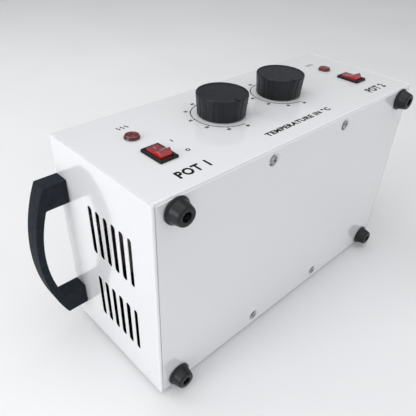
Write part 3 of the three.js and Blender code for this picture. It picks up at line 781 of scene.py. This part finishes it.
piece("housing_sheet", housing_wrap(), PAINT, "housing", "housing_paint", "housing_wrap", sharp=35)
piece("base_sheet", base_plate(), BASE_PAINT, "housing", "housing_paint", "base_plate",
      sharp=50, matrix=UNDERSIDE)
for side, sx in SIDES:
    piece(f"end_panel_{side}", side_panel(side, sx), PANEL_PAINT, "housing", "housing_paint",
          f"side_panel_{side}", sharp=35, matrix=flank(sx))


# ------------------------------------------------------------------ screws, feet and handles


DOME_SWING = 1.25  # radians from the middle of a screw's dome to its widest point


def pan_head(radius, height, shank, length):
    """Pan-head screw along +Z: the head hangs below its seat at 0."""
    dome = [(radius * math.sin(a), -height + height * 0.62 * (1 - math.cos(a)) / (1 - math.cos(DOME_SWING)))
            for a in [DOME_SWING * k / 7 for k in range(8)]]
    widest = dome[-1][0]
    profile = [(r * radius / widest, z) for r, z in dome]
    profile += [(radius, -height * 0.2), (radius - 0.15, 0)]
    profile += [(shank, 0), (shank, length - 0.5), (shank - 0.5, length)]
    return turned([(0.05, -height), *profile[1:], (0.05, length)], 48)


def cross_recess(size, width, depth, height):
    """Two tapered blades crossing, to cut a screwdriver recess into a head that faces -Z."""
    blades = []
    for turn in (0, math.pi / 2):
        rows = []
        for z, shrink in ((-height - 1.0, 1.0), (-height + depth, 0.55)):
            loop = rectangle(size * shrink, width * (0.5 + shrink / 2))
            rows.append([Matrix.Rotation(turn, 3, "Z") @ Vector((p.x, p.y, z)) for p in loop])
        blades.append(skin(rows))
    return blades


def screw(name, node, radius, height, shank, length, body, matrix):
    piece(name, pan_head(radius, height, shank, length), ZINC, body, "plated_steel", node,
          cutters=cross_recess(radius * 1.4, radius * 0.34, height * 0.7, height), matrix=matrix, sharp=38)


def foot(top):
    """Rubber foot: a rolled rim, a hollow cone and a rounded tread."""
    inner = [(2.2, top), (10.9, top)]
    bead = [(10.9 + 1.1 * math.sin(a), top - 1.15 + 1.15 * math.cos(a))
            for a in [math.pi * k / 10 for k in range(1, 10)]]
    outside = [(10.95, top - 2.45), (10.75, top - 2.75), (10.45, top - 3.1)]
    outside += [(8.75, 1.5), (8.3, 0.5), (7.6, 0.0)]
    hollow = [(4.7, 0.0), (4.3, 0.35), (4.2, 0.9), (4.2, 7.0), (2.2, 7.0)]
    profile = inner + bead + rounded(outside, [0, 0.4, 0.6, 0.8, 0.6, 0], 4) + hollow
    return turned(profile, 72, closed=True)


def arc_through(half_chord, end, crown, count):
    """Arc over a chord from -half_chord to half_chord; its ends are at height end, its middle at crown."""
    rise = crown - end
    radius = (half_chord ** 2 + rise ** 2) / (2 * rise)
    swing = math.asin(half_chord / radius)
    return [
        (radius * math.sin(swing * (2 * i / count - 1)),
         crown - radius + radius * math.cos(swing * (2 * i / count - 1)))
        for i in range(count + 1)
    ]


GRIP_HALF_LENGTH = 76.7
GRIP_HALF_GAP = 52.8
GRIP_END_REACH = 22.4
GRIP_DEPTH = 7.2
GRIP_RISE = 9.8
RECESS_TURN = {"front": 24, "rear": 57}  # where the base screws' crosses came to rest, in degrees


def handle(side):
    """Arched bridge handle, outlined along the panel and out of it, with chamfered long edges."""
    low, high = span(f"handle_{side}")
    reach = high.x - low.x + GAP
    crown = reach - GRIP_DEPTH
    outer = arc_through(GRIP_HALF_LENGTH, GRIP_END_REACH, reach, 40)
    inner = arc_through(GRIP_HALF_GAP, crown - GRIP_RISE, crown, 32)
    loop = [(-GRIP_HALF_LENGTH, GAP), (-GRIP_HALF_GAP, GAP), *inner]
    loop += [(GRIP_HALF_GAP, GAP), (GRIP_HALF_LENGTH, GAP)]
    radii = [0, 0, 1.4, *[0] * (len(inner) - 2), 1.4, 0, 0]
    outer = list(reversed(outer))
    loop += outer
    radii += [1.4, *[0] * (len(outer) - 2), 1.4]
    outline = rounded(loop, radii, 4, closed=True)
    return plate(outline, (), low.z, high.z, 1.15, 2)


for side, sx in SIDES:
    centre = middle(f"handle_{side}")
    # the outline's first axis runs along the panel and its second points out of it
    turn = Matrix(((0, sx, 0, sx * SIDE), (-sx, 0, 0, centre.y), (0, 0, 1, 0), (0, 0, 0, 1)))
    piece(f"grip_{side}", handle(side), HANDLE_PLASTIC, "housing", "black_plastic", f"handle_{side}",
          sharp=32, matrix=turn)
    for end in ENDS:
        hub = middle(f"foot_{end}_{side}")
        seat = span(f"foot_screw_{end}_{side}")[0].z + HEAD
        place = Matrix.Translation((hub.x, hub.y, 0))
        piece(f"rubber_foot_{end}_{side}", foot(BOTTOM - GAP), RUBBER, "housing", "black_rubber",
              f"foot_{end}_{side}", matrix=place, sharp=50)
        screw(f"foot_fixing_{end}_{side}", f"foot_screw_{end}_{side}", 3.7, HEAD, 1.8, 12.0, "housing",
              Matrix.Translation((hub.x, hub.y, seat)))
        spot = middle(f"base_screw_{end}_{side}")
        spin = Matrix.Rotation(math.radians(RECESS_TURN[end] + 15 * sx), 4, "Z")
        seat = span(f"base_screw_{end}_{side}")[0].z + HEAD
        screw(f"base_fixing_{end}_{side}", f"base_screw_{end}_{side}", 4.2, HEAD, 1.8, 9.0, "housing",
              Matrix.Translation((spot.x, spot.y, seat)) @ spin)
        spot = middle(f"handle_screw_{end}_{side}")
        out = facing((sx * (SIDE - SHEET - GAP), spot.y, spot.z), (0, sx, 0), (0, 0, 1))
        screw(f"handle_fixing_{end}_{side}", f"handle_screw_{end}_{side}", 4.2, 2.4, 2.0, 14.0, "housing",
              out)


# ------------------------------------------------------------------ control panel


KNOB_FLUTES = 18
KNOB_LIFT = 0.8
KNOB_RADIUS = 24.9
KNOB_TAPER = 1.5
PROUD = FRONT - span("knob_left")[0].y  # how far a knob's face stands off the panel
POINTER_TURN = {"left": math.radians(-9), "right": math.radians(-18)}


def on_panel(node):
    """Frame on the control panel at a node's middle."""
    spot = middle(node)
    return PANEL @ Matrix.Translation((spot.x, spot.z - BOTTOM, 0))


def knob(top, radius):
    """Dial knob along +Z: shallow flutes that fade at the top, a rim round a sunk face, hollow behind."""
    waist = radius - KNOB_TAPER
    skirt = [(radius - 3.0, KNOB_LIFT), (waist - 0.5, KNOB_LIFT), (waist, KNOB_LIFT + 0.6), (waist + 0.1, 4.0)]
    skirt += [(waist + (radius - waist - 0.1) * k / 6, 4.0 + (top - 6.4) * k / 6) for k in range(1, 7)]
    rim = [(radius - 0.02, top - 1.3), (radius - 0.35, top - 0.45), (radius - 1.0, top - 0.02)]
    rim += [(radius - 1.5, top), (radius - 1.9, top - 0.12), (radius - 2.1, top - 0.55)]
    rim += [(radius - 2.5, top - 0.7)]
    face = [(r, top - 0.7) for r in (18.0, 12.0, 6.0, 0.05)]
    hollow = [(0.05, 14.0), (3.3, 14.0), (3.3, KNOB_LIFT), (7.0, KNOB_LIFT), (7.0, 12.0), (radius - 3.0, 12.0)]

    def wave(r, z, a):
        if r < waist - 0.6 or z > top - 0.6:
            return 0.0
        fade = min(1.0, max(0.0, (top - 0.9 - z) / 1.2)) * min(1.0, max(0.0, (z - KNOB_LIFT) / 0.8))
        groove = 0.5 + 0.5 * math.cos(a * KNOB_FLUTES)
        return -0.5 * fade * groove ** 6

    return turned(skirt + rim + face + hollow, KNOB_FLUTES * 16, closed=True, wave=wave)


def pointer_cut(proud, radius):
    """Rounded groove across the rim, at the bottom of the knob before it is turned to rest."""
    loop = rounded([(-1.3, -1.9), (1.3, -1.9), (1.3, 2), (-1.3, 2)], [0.9, 0.9, 0, 0], 5, closed=True)
    rows = [[Vector((p.x, y, proud + p.y)) for p in loop] for y in (-radius - 2, -radius + 5.2)]
    return skin(rows)


ROCKER_HALF_WIDTH = 5.8
ROCKER_WING = 8.2
ROCKER_MIDDLE = 6.2
ROCKER_CREST = 8.2
WING_HOLLOW = 0.3
ROCKER_TILT = math.radians(13)
PIVOT_DEPTH = 2.4
MARK_Y = 4.6


def bezel():
    """Switch housing in the panel's frame: bezel, pocket for the rocker and body behind the panel."""
    opening, outer, can = (12.3, 23.2, 0.5), (18.8, 27.4, 1.3), (17.0, 25.0, 0.6)
    steps = 5

    def loop(shape, grow=0.0):
        width, height, radius = shape
        return rectangle(width + 2 * grow, height + 2 * grow, max(radius + grow, 0.2), steps)

    return tray([
        (loop(opening), -13.0), (loop(opening), 1.3), (loop(opening, 0.15), 1.62), (loop(opening, 0.5), 1.85),
        (loop(outer, -1.5), 2.5), (loop(outer, -0.8), 2.45), (loop(outer, -0.25), 2.0), (loop(outer, 0.0), 1.3),
        (loop(outer, 0.0), GAP), (loop(can), GAP), (loop(can), -20.0),
    ])


def crest(y):
    """Height of the rocker's top above its pivot: two slightly hollowed wings that rise from the middle."""
    along = abs(y) / ROCKER_WING
    return ROCKER_MIDDLE + (ROCKER_CREST - ROCKER_MIDDLE) * along - WING_HOLLOW * math.sin(math.pi * along)


def rocker():
    """Rocker about its pivot; its ends slope away from the crests."""
    top = [(-ROCKER_WING * k / 12, crest(ROCKER_WING * k / 12)) for k in range(-12, 13)]
    right = [(-9.9, 5.6), (-10.0, 3.0), (-8.6, -1.0), (-4.0, -4.0)]
    outline = top + right + [(-y, z) for y, z in reversed(right)]
    radii = [0.45] + [0] * 23 + [0.45] + [0.5] * 8
    outline = rounded(outline, radii, 4, closed=True)

    def place(u, v, w):
        return Vector((w, u, v))

    return plate(outline, (), -ROCKER_HALF_WIDTH, ROCKER_HALF_WIDTH, 0.4, 3, place=place)


def rocker_marks():
    """A bar and a ring, standing on the surface of the rocker's two wings."""
    def place(u, v, w):
        return Vector((u, v, crest(v) + w))

    bar = plate(rectangle(0.9, 3.4, 0.2, 2, 0, MARK_Y), (), -0.2, 0.06, 0.03, 1, place=place)
    hole = circle(1.1, 32, 0, -MARK_Y)
    return bar + plate(circle(1.8, 32, 0, -MARK_Y), [hole], -0.2, 0.06, 0.03, 1, place=place)


def lamp_bezel():
    """Lamp body behind the panel and its flange, with a rounded edge."""
    body = [(0.05, -20), (4.6, -20), (4.9, -19.6), (4.9, GAP), (7.1, GAP)]
    flange = [body[-1], (7.1, 1.0), (6.85, 1.6), (6.6, 1.7), (6.4, 1.6)]
    return turned(body + rounded(flange, 0.25, 3)[1:-1] + [flange[-1], (0.05, 1.6)], 64)


def lamp_dome():
    """Lens with a rounded shoulder and a nearly flat crown."""
    base, top, radius = 2.0, 3.7, 6.4
    line = [(0.05, base), (radius - 0.2, base), (radius, base + 0.2), (radius, base + 0.9)]
    line += [(radius - 1.3, top - 0.35), (radius - 3.2, top - 0.08), (0.05, top)]
    return turned(rounded(line, [0, 0, 0, 0.4, 1.0, 3, 0], 5), 64)


for side, sx in SIDES:
    rest = Matrix.Rotation(POINTER_TURN[side], 4, "Z")
    here = on_panel(f"knob_shaft_{side}") @ rest
    piece(f"dial_knob_{side}", knob(PROUD, KNOB_RADIUS), KNOB_PLASTIC, f"knob_{side}", "black_plastic",
          f"knob_{side}", cutters=[pointer_cut(PROUD, KNOB_RADIUS)], matrix=here, sharp=34)
    here = on_panel(f"switch_body_{side}")
    tabs = Shape()
    for y in (-8, 0, 8):
        tabs += plate(rectangle(4.8, 8.5, 0.5, 3), (), -0.4, 0.4, 0.12, 1).placed(
            facing((0, y, -23.8), (1, 0, 0), (0, 0, -1)))
    piece(f"switch_bezel_{side}", bezel() + tabs, SWITCH_PLASTIC, "housing", "black_plastic",
          f"switch_body_{side}", matrix=here, sharp=38)
    tipped = here @ Matrix.Translation((0, 0, -PIVOT_DEPTH)) @ Matrix.Rotation(-ROCKER_TILT, 4, "X")
    piece(f"rocker_paddle_{side}", rocker(), ROCKER_RED, f"rocker_{side}", "red_switch", f"rocker_{side}",
          matrix=tipped, sharp=38)
    piece(f"rocker_marks_{side}", rocker_marks(), MARK_INK, f"rocker_{side}", "cream_plastic", matrix=tipped)
    here = on_panel(f"lamp_body_{side}")
    piece(f"lamp_bezel_{side}", lamp_bezel(), LAMP_RED, "housing", "dark_red_plastic", f"lamp_body_{side}",
          matrix=here)
    piece(f"lamp_dome_{side}", lamp_dome(), LENS_RED, "housing", "red_lens", f"lamp_lens_{side}", matrix=here)


# ------------------------------------------------------------------ printing on the panel


def lettering(text, height, x, y, heavy, width=None, spread=1.0):
    """Raised print of a word or number, centred at a place on the panel, with a given height and width."""
    curve = bpy.data.curves.new("lettering", "FONT")
    curve.body = text
    curve.align_x = "CENTER"
    curve.extrude = 0.02
    curve.offset = heavy
    curve.space_character = spread
    curve.resolution_u = 3
    thing = bpy.data.objects.new("lettering", curve)
    bpy.context.collection.objects.link(thing)
    bpy.context.view_layer.update()
    mesh = bpy.data.meshes.new_from_object(thing.evaluated_get(bpy.context.evaluated_depsgraph_get()))
    points = [v.co.copy() for v in mesh.vertices]
    faces = [tuple(p.vertices) for p in mesh.polygons]
    bpy.data.objects.remove(thing, do_unlink=True)
    low = Vector((min(p.x for p in points), min(p.y for p in points)))
    high = Vector((max(p.x for p in points), max(p.y for p in points)))
    scale = height / (high.y - low.y)
    across = width / (high.x - low.x) if width else scale
    centre = (low + high) / 2
    made = []
    for p in points:
        z = INK_HEIGHT if p.z > 0 else INK_FOOT
        made.append(Vector(((p.x - centre.x) * across + x, (p.y - centre.y) * scale + y, z)))
    return Shape(made, faces)


INK_HEIGHT = 0.07
INK_FOOT = 0.01
DIAL_STROKE = 0.85
DIAL_NUMBERS = range(30, 120, 10)
SCALE_RADIUS = 29.6
NUMBER_RADIUS = 34.3
FIRST_NUMBER = 270.0
NUMBER_STEP = -33.5


def stroke(points, width):
    """A printed line of one width."""
    points = [Vector(p) for p in points]
    left, right = [], []
    for i, p in enumerate(points):
        along = (points[min(i + 1, len(points) - 1)] - points[max(i - 1, 0)]).normalized()
        side = Vector((-along.y, along.x)) * width / 2
        left.append(p + side)
        right.append(p - side)
    count = len(points)
    loop = right + list(reversed(left))
    verts = [(p.x, p.y, INK_HEIGHT) for p in loop] + [(p.x, p.y, INK_FOOT) for p in loop]
    faces = []
    for i in range(count - 1):
        a, b = i, i + 1
        c, d = 2 * count - 2 - i, 2 * count - 1 - i
        faces += [(a, b, c, d), (2 * count + d, 2 * count + c, 2 * count + b, 2 * count + a)]
    size = 2 * count
    faces += [(i, (i + 1) % size, size + (i + 1) % size, size + i) for i in range(size)]
    return Shape(verts, faces)


def polar(centre, radius, degrees):
    a = math.radians(degrees)
    return Vector((centre[0] + radius * math.cos(a), centre[1] + radius * math.sin(a)))


def dial_print(x, y):
    """An arc with a tick and a number at each step; the last number has three digits and stands further out."""
    last = len(DIAL_NUMBERS) - 1
    swing = last * NUMBER_STEP
    steps = 72
    line = [polar((x, y), SCALE_RADIUS, FIRST_NUMBER + swing * k / steps) for k in range(steps + 1)]
    made = stroke(line, DIAL_STROKE)
    for k, number in enumerate(DIAL_NUMBERS):
        angle = FIRST_NUMBER + k * NUMBER_STEP
        tick = [polar((x, y), SCALE_RADIUS, angle), polar((x, y), SCALE_RADIUS + 1.6, angle)]
        made += stroke(tick, DIAL_STROKE)
        spot = polar((x, y), NUMBER_RADIUS + (1.2 if k == last else 0), angle)
        made += lettering(str(number), 3.2, spot.x, spot.y, 0.05)
    return made


def heat_sign(x, y):
    """Three rising waves."""
    made = Shape()
    for shift in (-4.2, 0, 4.2):
        line = [(x + shift + 0.8 * math.sin(math.tau * k / 20), y - 2.5 + 5.0 * k / 20) for k in range(21)]
        made += stroke(line, 1.15)
    return made


printing = Shape()
for side, sx in SIDES:
    dial = middle(f"knob_shaft_{side}")
    lamp = middle(f"lamp_body_{side}")
    printing += dial_print(dial.x + 0.8, dial.z - BOTTOM + 0.5)
    printing += heat_sign(lamp.x + (4.4 if sx < 0 else -1.5), lamp.z - BOTTOM + 21.0)
left, right = middle("switch_body_left"), middle("switch_body_right")
printing += lettering("I", 4.2, left.x + 22.5, left.z - BOTTOM + 12.3, 0.06)
printing += lettering("O", 4.2, left.x + 22.5, left.z - BOTTOM - 8.6, 0.05)
printing += lettering("POT 1", 10.2, left.x + 5.3, 19.5, 0.04, 32.5, 1.12)
printing += lettering("POT 2", 10.2, right.x - 3.7, 20.2, 0.04, 32.5, 1.12)
caption_x = (left.x + right.x) / 2 + 0.1
printing += lettering("TEMPERATURE IN °C", 6.6, caption_x, 20.9, 0.045, 95.0, 1.1)
piece("panel_print", printing, INK, "housing", "black_plastic", matrix=PANEL)


# ------------------------------------------------------------------ wells, pots, lids and bails


def well(low, high):
    """Spun well with a rounded floor edge and a rolled flange."""
    inside, outside, flange = 66.0, 67.2, 76.0
    floor = low + SHEET
    line = [
        (0.05, low), (outside - 3.2, low), (outside, low + 3.2), (outside, high - 1.5),
        (flange, high - 1.5), (flange, high), (inside, high),
        (inside, floor + 3.0), (inside - 3.0, floor), (0.05, floor),
    ]
    return turned(rounded(line, [0, 2.5, 2.5, 0.3, 0.7, 0.7, 1.0, 2.2, 2.2, 0], 5), 144)


RIM_DROP = 5.2  # from the bail's wire down to the pot's rim
SKIRT = 5.0  # how far a lid's skirt reaches below its rim


def pot(low, rim):
    """Spun pot with a rounded floor edge and a rolled lip."""
    inside, outside, lip = 62.4, 63.4, 70.0
    floor = low + 1.2
    line = [
        (0.05, low), (outside - 5.2, low), (outside, low + 5.2), (outside, rim - 1.2),
        (lip, rim - 1.2), (lip, rim), (inside, rim),
        (inside, floor + 5.0), (inside - 5.0, floor), (0.05, floor),
    ]
    return turned(rounded(line, [0, 4, 4, 0.3, 0.58, 0.58, 0.9, 3.8, 3.8, 0], 6), 144)


def bail_ear(sx, pivot, rim):
    loop = rounded([(-4.5, rim - 0.8 - pivot), (4.5, rim - 0.8 - pivot), (4.5, 4.0), (-4.5, 4.0)],
                   [0.3, 0.3, 4.3, 4.3], 10, closed=True)
    ear = plate(loop, [circle(1.85, 32)], -0.8, 0.8, 0.25, 2)
    return ear.placed(facing((sx * 68.4, 0, pivot), (0, 1, 0), (0, 0, 1)))


def bail(pivot):
    """Wire bail lying back round the pot, its ends turned in through the ears."""
    radius, turn = 73.5, 3.0
    path = [(67.0, 0, pivot), (radius - turn, 0, pivot)]
    path += [(radius - turn + turn * math.sin(a), turn - turn * math.cos(a), pivot) for a in
             [math.pi / 2 * k / 6 for k in range(1, 7)]]
    first = math.degrees(math.asin(turn / radius)) + 1.0
    arc = [first + (180 - 2 * first) * k / 72 for k in range(73)]
    path += [(radius * math.cos(math.radians(a)), radius * math.sin(math.radians(a)), pivot) for a in arc]
    path += [(-x, y, z) for x, y, z in reversed(path[:8])]
    return swept(path, 1.38, 20)


def lid(seat):
    """Spun lid: a flat rim, a skirt that drops into the pot and a domed crown with a hole for its knob."""
    skirt, rim, wall, rise, bore = 61.4, 66.5, 1.0, 8.0, 2.6
    dome = []
    for k in range(17):
        r = skirt + (bore - skirt) * k / 16
        dome.append((r, seat + wall + rise * (1 - (r / skirt) ** 2)))
    under = [(min(r, skirt - wall), z - wall) for r, z in reversed(dome)]
    foot_z = seat - SKIRT
    line = [(skirt, seat), (rim - 0.5, seat), (rim, seat + 0.5)]
    line += [(rim - 0.5, seat + wall), (skirt + 1.2, seat + wall), *dome[1:], *under[:-1]]
    line += [(skirt - wall, foot_z + 0.4), (skirt - wall + 0.3, foot_z)]
    line += [(skirt - 0.3, foot_z), (skirt, foot_z + 0.4)]
    return turned(line, 144, closed=True)


def lid_knob(base):
    """Waisted knob with a bore for its screw."""
    line = [(0.05, 13), (2.2, 13), (2.2, 0), (8.6, 0), (9, 0.5), (7.2, 2.6), (6.2, 5.2), (6.1, 8.6)]
    line += [(7.4, 11.2), (11.4, 14.0), (13.0, 16.2), (13.1, 18.2), (11.6, 20.4), (7.6, 21.7), (0.05, 22.0)]
    smooth = rounded(line, [0, 0, 0, 0.2, 0.4, 2, 2, 3, 3, 3, 1.5, 1.5, 2.5, 6, 0], 5)
    return turned([(r, z + base) for r, z in smooth], 64)


for side, sx in SIDES:
    hub = middle(f"heating_well_{side}")
    here = Matrix.Translation((hub.x, hub.y, 0))
    centre = (hub.x * MM, hub.y * MM)
    spun = spun_aluminium(f"spun_pot_{side}", centre, 0.22, 0.34)
    polished = spun_aluminium(f"spun_lid_{side}", centre, 0.14, 0.24)
    low, high = span(f"heating_well_{side}")
    piece(f"spun_well_{side}", well(low.z, high.z), spun, "housing", "aluminium", f"heating_well_{side}",
          matrix=here, sharp=40)
    low, high = span(f"pot_{side}")
    pivot = middle(f"pot_bail_{side}").z
    rim = pivot - RIM_DROP
    ears = bail_ear(-1, pivot, rim) + bail_ear(1, pivot, rim)
    piece(f"wax_pot_{side}", pot(low.z, rim) + ears, spun, f"pot_{side}", "aluminium", f"pot_{side}",
          matrix=here, sharp=40)
    piece(f"wire_bail_{side}", bail(pivot), WIRE, f"bail_{side}", "plated_steel", f"pot_bail_{side}",
          matrix=here)
    low, high = span(f"lid_{side}")
    piece(f"spun_lid_{side}", lid(low.z + SKIRT), polished, f"lid_{side}", "aluminium", f"lid_{side}",
          matrix=here, sharp=40)
    base = span(f"lid_knob_{side}")[0].z
    piece(f"lid_button_{side}", lid_knob(base), KNOB_PLASTIC, f"lid_{side}", "black_plastic",
          f"lid_knob_{side}", matrix=here, sharp=50)
    seat = span(f"lid_screw_{side}")[0].z + HEAD
    screw(f"lid_fixing_{side}", f"lid_screw_{side}", 4.4, HEAD, 1.9, 12.0, f"lid_{side}",
          here @ Matrix.Translation((0, 0, seat)))


# ------------------------------------------------------------------ mains inlet


def inlet():
    """Recessed inlet in the back's frame: face plate, mouth with two cut corners and body behind."""
    def loop(width, height, radius, cut):
        w, h = width / 2, height / 2
        corners = [(-w + cut, -h), (w - cut, -h), (w, -h + cut), (w, h), (-w, h), (-w, -h + cut)]
        return rounded(corners, radius, 4, closed=True)

    return tray([
        (loop(24, 16.4, 0.8, 4.0), -15), (loop(24, 16.4, 0.8, 4.0), 2.3), (loop(24.6, 17, 0.9, 4.0), 2.7),
        (loop(31.2, 24.0, 1.6, 2.2), 2.8), (loop(31.8, 24.6, 1.8, 2.2), 2.6), (loop(32, 24.8, 1.9, 2.2), 2.2),
        (loop(32, 24.8, 1.9, 2.2), GAP), (loop(27.2, 20, 0.8, 4.0), GAP), (loop(27.2, 20, 0.8, 4.0), -18),
    ])


spot = middle("power_inlet")
piece("mains_inlet", inlet(), SWITCH_PLASTIC, "housing", "black_plastic", "power_inlet",
      matrix=REAR @ Matrix.Translation((-spot.x, spot.z, 0)), sharp=38)
for name in ("live", "earth", "neutral"):
    spot = middle(f"inlet_pin_{name}")
    blade = rounded([(-12, -2), (12, -2), (12, 2), (-12, 2)], [0.4, 1.4, 1.4, 0.4], 4, closed=True)
    turn = facing(spot, (0, 1, 0), (0, 0, 1))
    piece(f"inlet_blade_{name}", plate(blade, (), -1, 1, 0.3, 2), BRASS, "housing", "brass",
          f"inlet_pin_{name}", matrix=turn)

dress(CREAM, "thermostat_left", "thermostat_right", "terminal_block")
dress(ZINC, "knob_shaft_left", "knob_shaft_right", "heater_clamp_bolt_left", "heater_clamp_bolt_right")
dress(HEATER, "heater_band_left", "heater_band_right")
dress(COPPER, "sensor_capillary_left", "sensor_capillary_right")
dress(SLEEVE, "supply_lead")


# ------------------------------------------------------------------ floor, light and camera


CONTACT = 0.006  # metres; a ray that starts this close to the floor passes through it
FLOOR_DROP = 0.0008  # metres between the object's back and the floor
FLOOR_REACH = 6.0


def floor_finish():
    """Pale floor: clear from behind, and clear to what lies on it, so that the studio lights the back panel."""
    f = Finish("pale_floor", Specular_IOR_Level=0.3)
    f.colour(f.noise(3, 3), (0.80, 0.80, 0.81), (0.84, 0.84, 0.85))
    f.rough(f.noise(20, 3), 0.5, 0.6)
    length = f.node("LightPath", {}).outputs["Ray Length"]
    touching = f.node("Math", {0: length}, {1: CONTACT}, operation="LESS_THAN").outputs["Value"]
    behind = f.node("NewGeometry", {}).outputs["Backfacing"]
    either = f.node("Math", {0: behind, 1: touching}, operation="MAXIMUM").outputs["Value"]
    clear = f.node("BsdfTransparent", {}).outputs["BSDF"]
    mix = f.node("MixShader", {"Fac": either, 1: f.shader.outputs["BSDF"], 2: clear})
    f.tree.links.new(mix.outputs["Shader"], f.tree.nodes["Material Output"].inputs["Surface"])
    return f.material


floor_mesh = bpy.data.meshes.new("floor")
floor_y = cad_box[1][1] + FLOOR_DROP
floor_corners = [(x * FLOOR_REACH, floor_y, z * FLOOR_REACH) for x, z in ((-1, -1), (1, -1), (1, 1), (-1, 1))]
floor_mesh.from_pydata(floor_corners, [], [(0, 1, 2, 3)])
floor_mesh.materials.append(floor_finish())
floor = bpy.data.objects.new("floor", floor_mesh)
bpy.context.collection.objects.link(floor)

SKY_LEVEL = 0.525
SKY_LEAN = (0.045, -0.062, -0.418)  # the sky is brighter by this much towards +X, -Y and -Z

world = bpy.data.worlds.new("studio")
world.use_nodes = True
tree = world.node_tree
way = add_node(tree, "TexCoord", {}).outputs["Generated"]
lean = add_node(tree, "VectorMath", {0: way}, {1: SKY_LEAN}, operation="DOT_PRODUCT").outputs["Value"]
level = add_node(tree, "Math", {0: lean}, {1: SKY_LEVEL})
sky = tree.nodes["Background"]
sky.inputs["Color"].default_value = (0.93, 0.94, 0.96, 1)
tree.links.new(level.outputs["Value"], sky.inputs["Strength"])
bpy.context.scene.world = world


def soft_light(name, place, aim, size, watts):
    data = bpy.data.lights.new(name, "AREA")
    data.shape = "DISK"
    data.size = size
    data.energy = watts
    lamp = bpy.data.objects.new(name, data)
    lamp.location = place
    lamp.rotation_mode = "QUATERNION"
    lamp.rotation_quaternion = (Vector(aim) - Vector(place)).to_track_quat("-Z", "Y")
    bpy.context.collection.objects.link(lamp)


soft_light("side_left", (-1.7, -0.6, 0.3), (0.0, 0.0, 0.08), 1.0, 11.7)
soft_light("wide_front", (0.2, -1.9, 0.2), (0.1, 0.0, 0.1), 1.6, 8.8)
soft_light("over_left", (-0.5, -1.2, 1.0), (0.0, 0.0, 0.08), 1.2, 5.8)
soft_light("front_left", (-1.0, -1.6, -0.1), (0.0, 0.0, 0.08), 1.0, 3.7)

camera = bpy.data.objects.new("camera", bpy.data.cameras.new("camera"))
right = Vector((0.7209, -0.0394, -0.6919))
down = Vector((-0.3913, 0.8009, -0.4533))
turn = Matrix((right, -down, right.cross(-down))).transposed()
camera.rotation_mode = "QUATERNION"
camera.rotation_quaternion = turn.to_quaternion()
camera.location = (-0.3304, -0.2784, -0.1898)
camera.data.lens = 39.09
camera.data.sensor_width = 36
camera.data.shift_x = -0.0147
camera.data.shift_y = 0.0207
camera.data.clip_start = 0.02
bpy.context.collection.objects.link(camera)
bpy.context.scene.camera = camera
bpy.context.scene.view_settings.view_transform = "Standard"
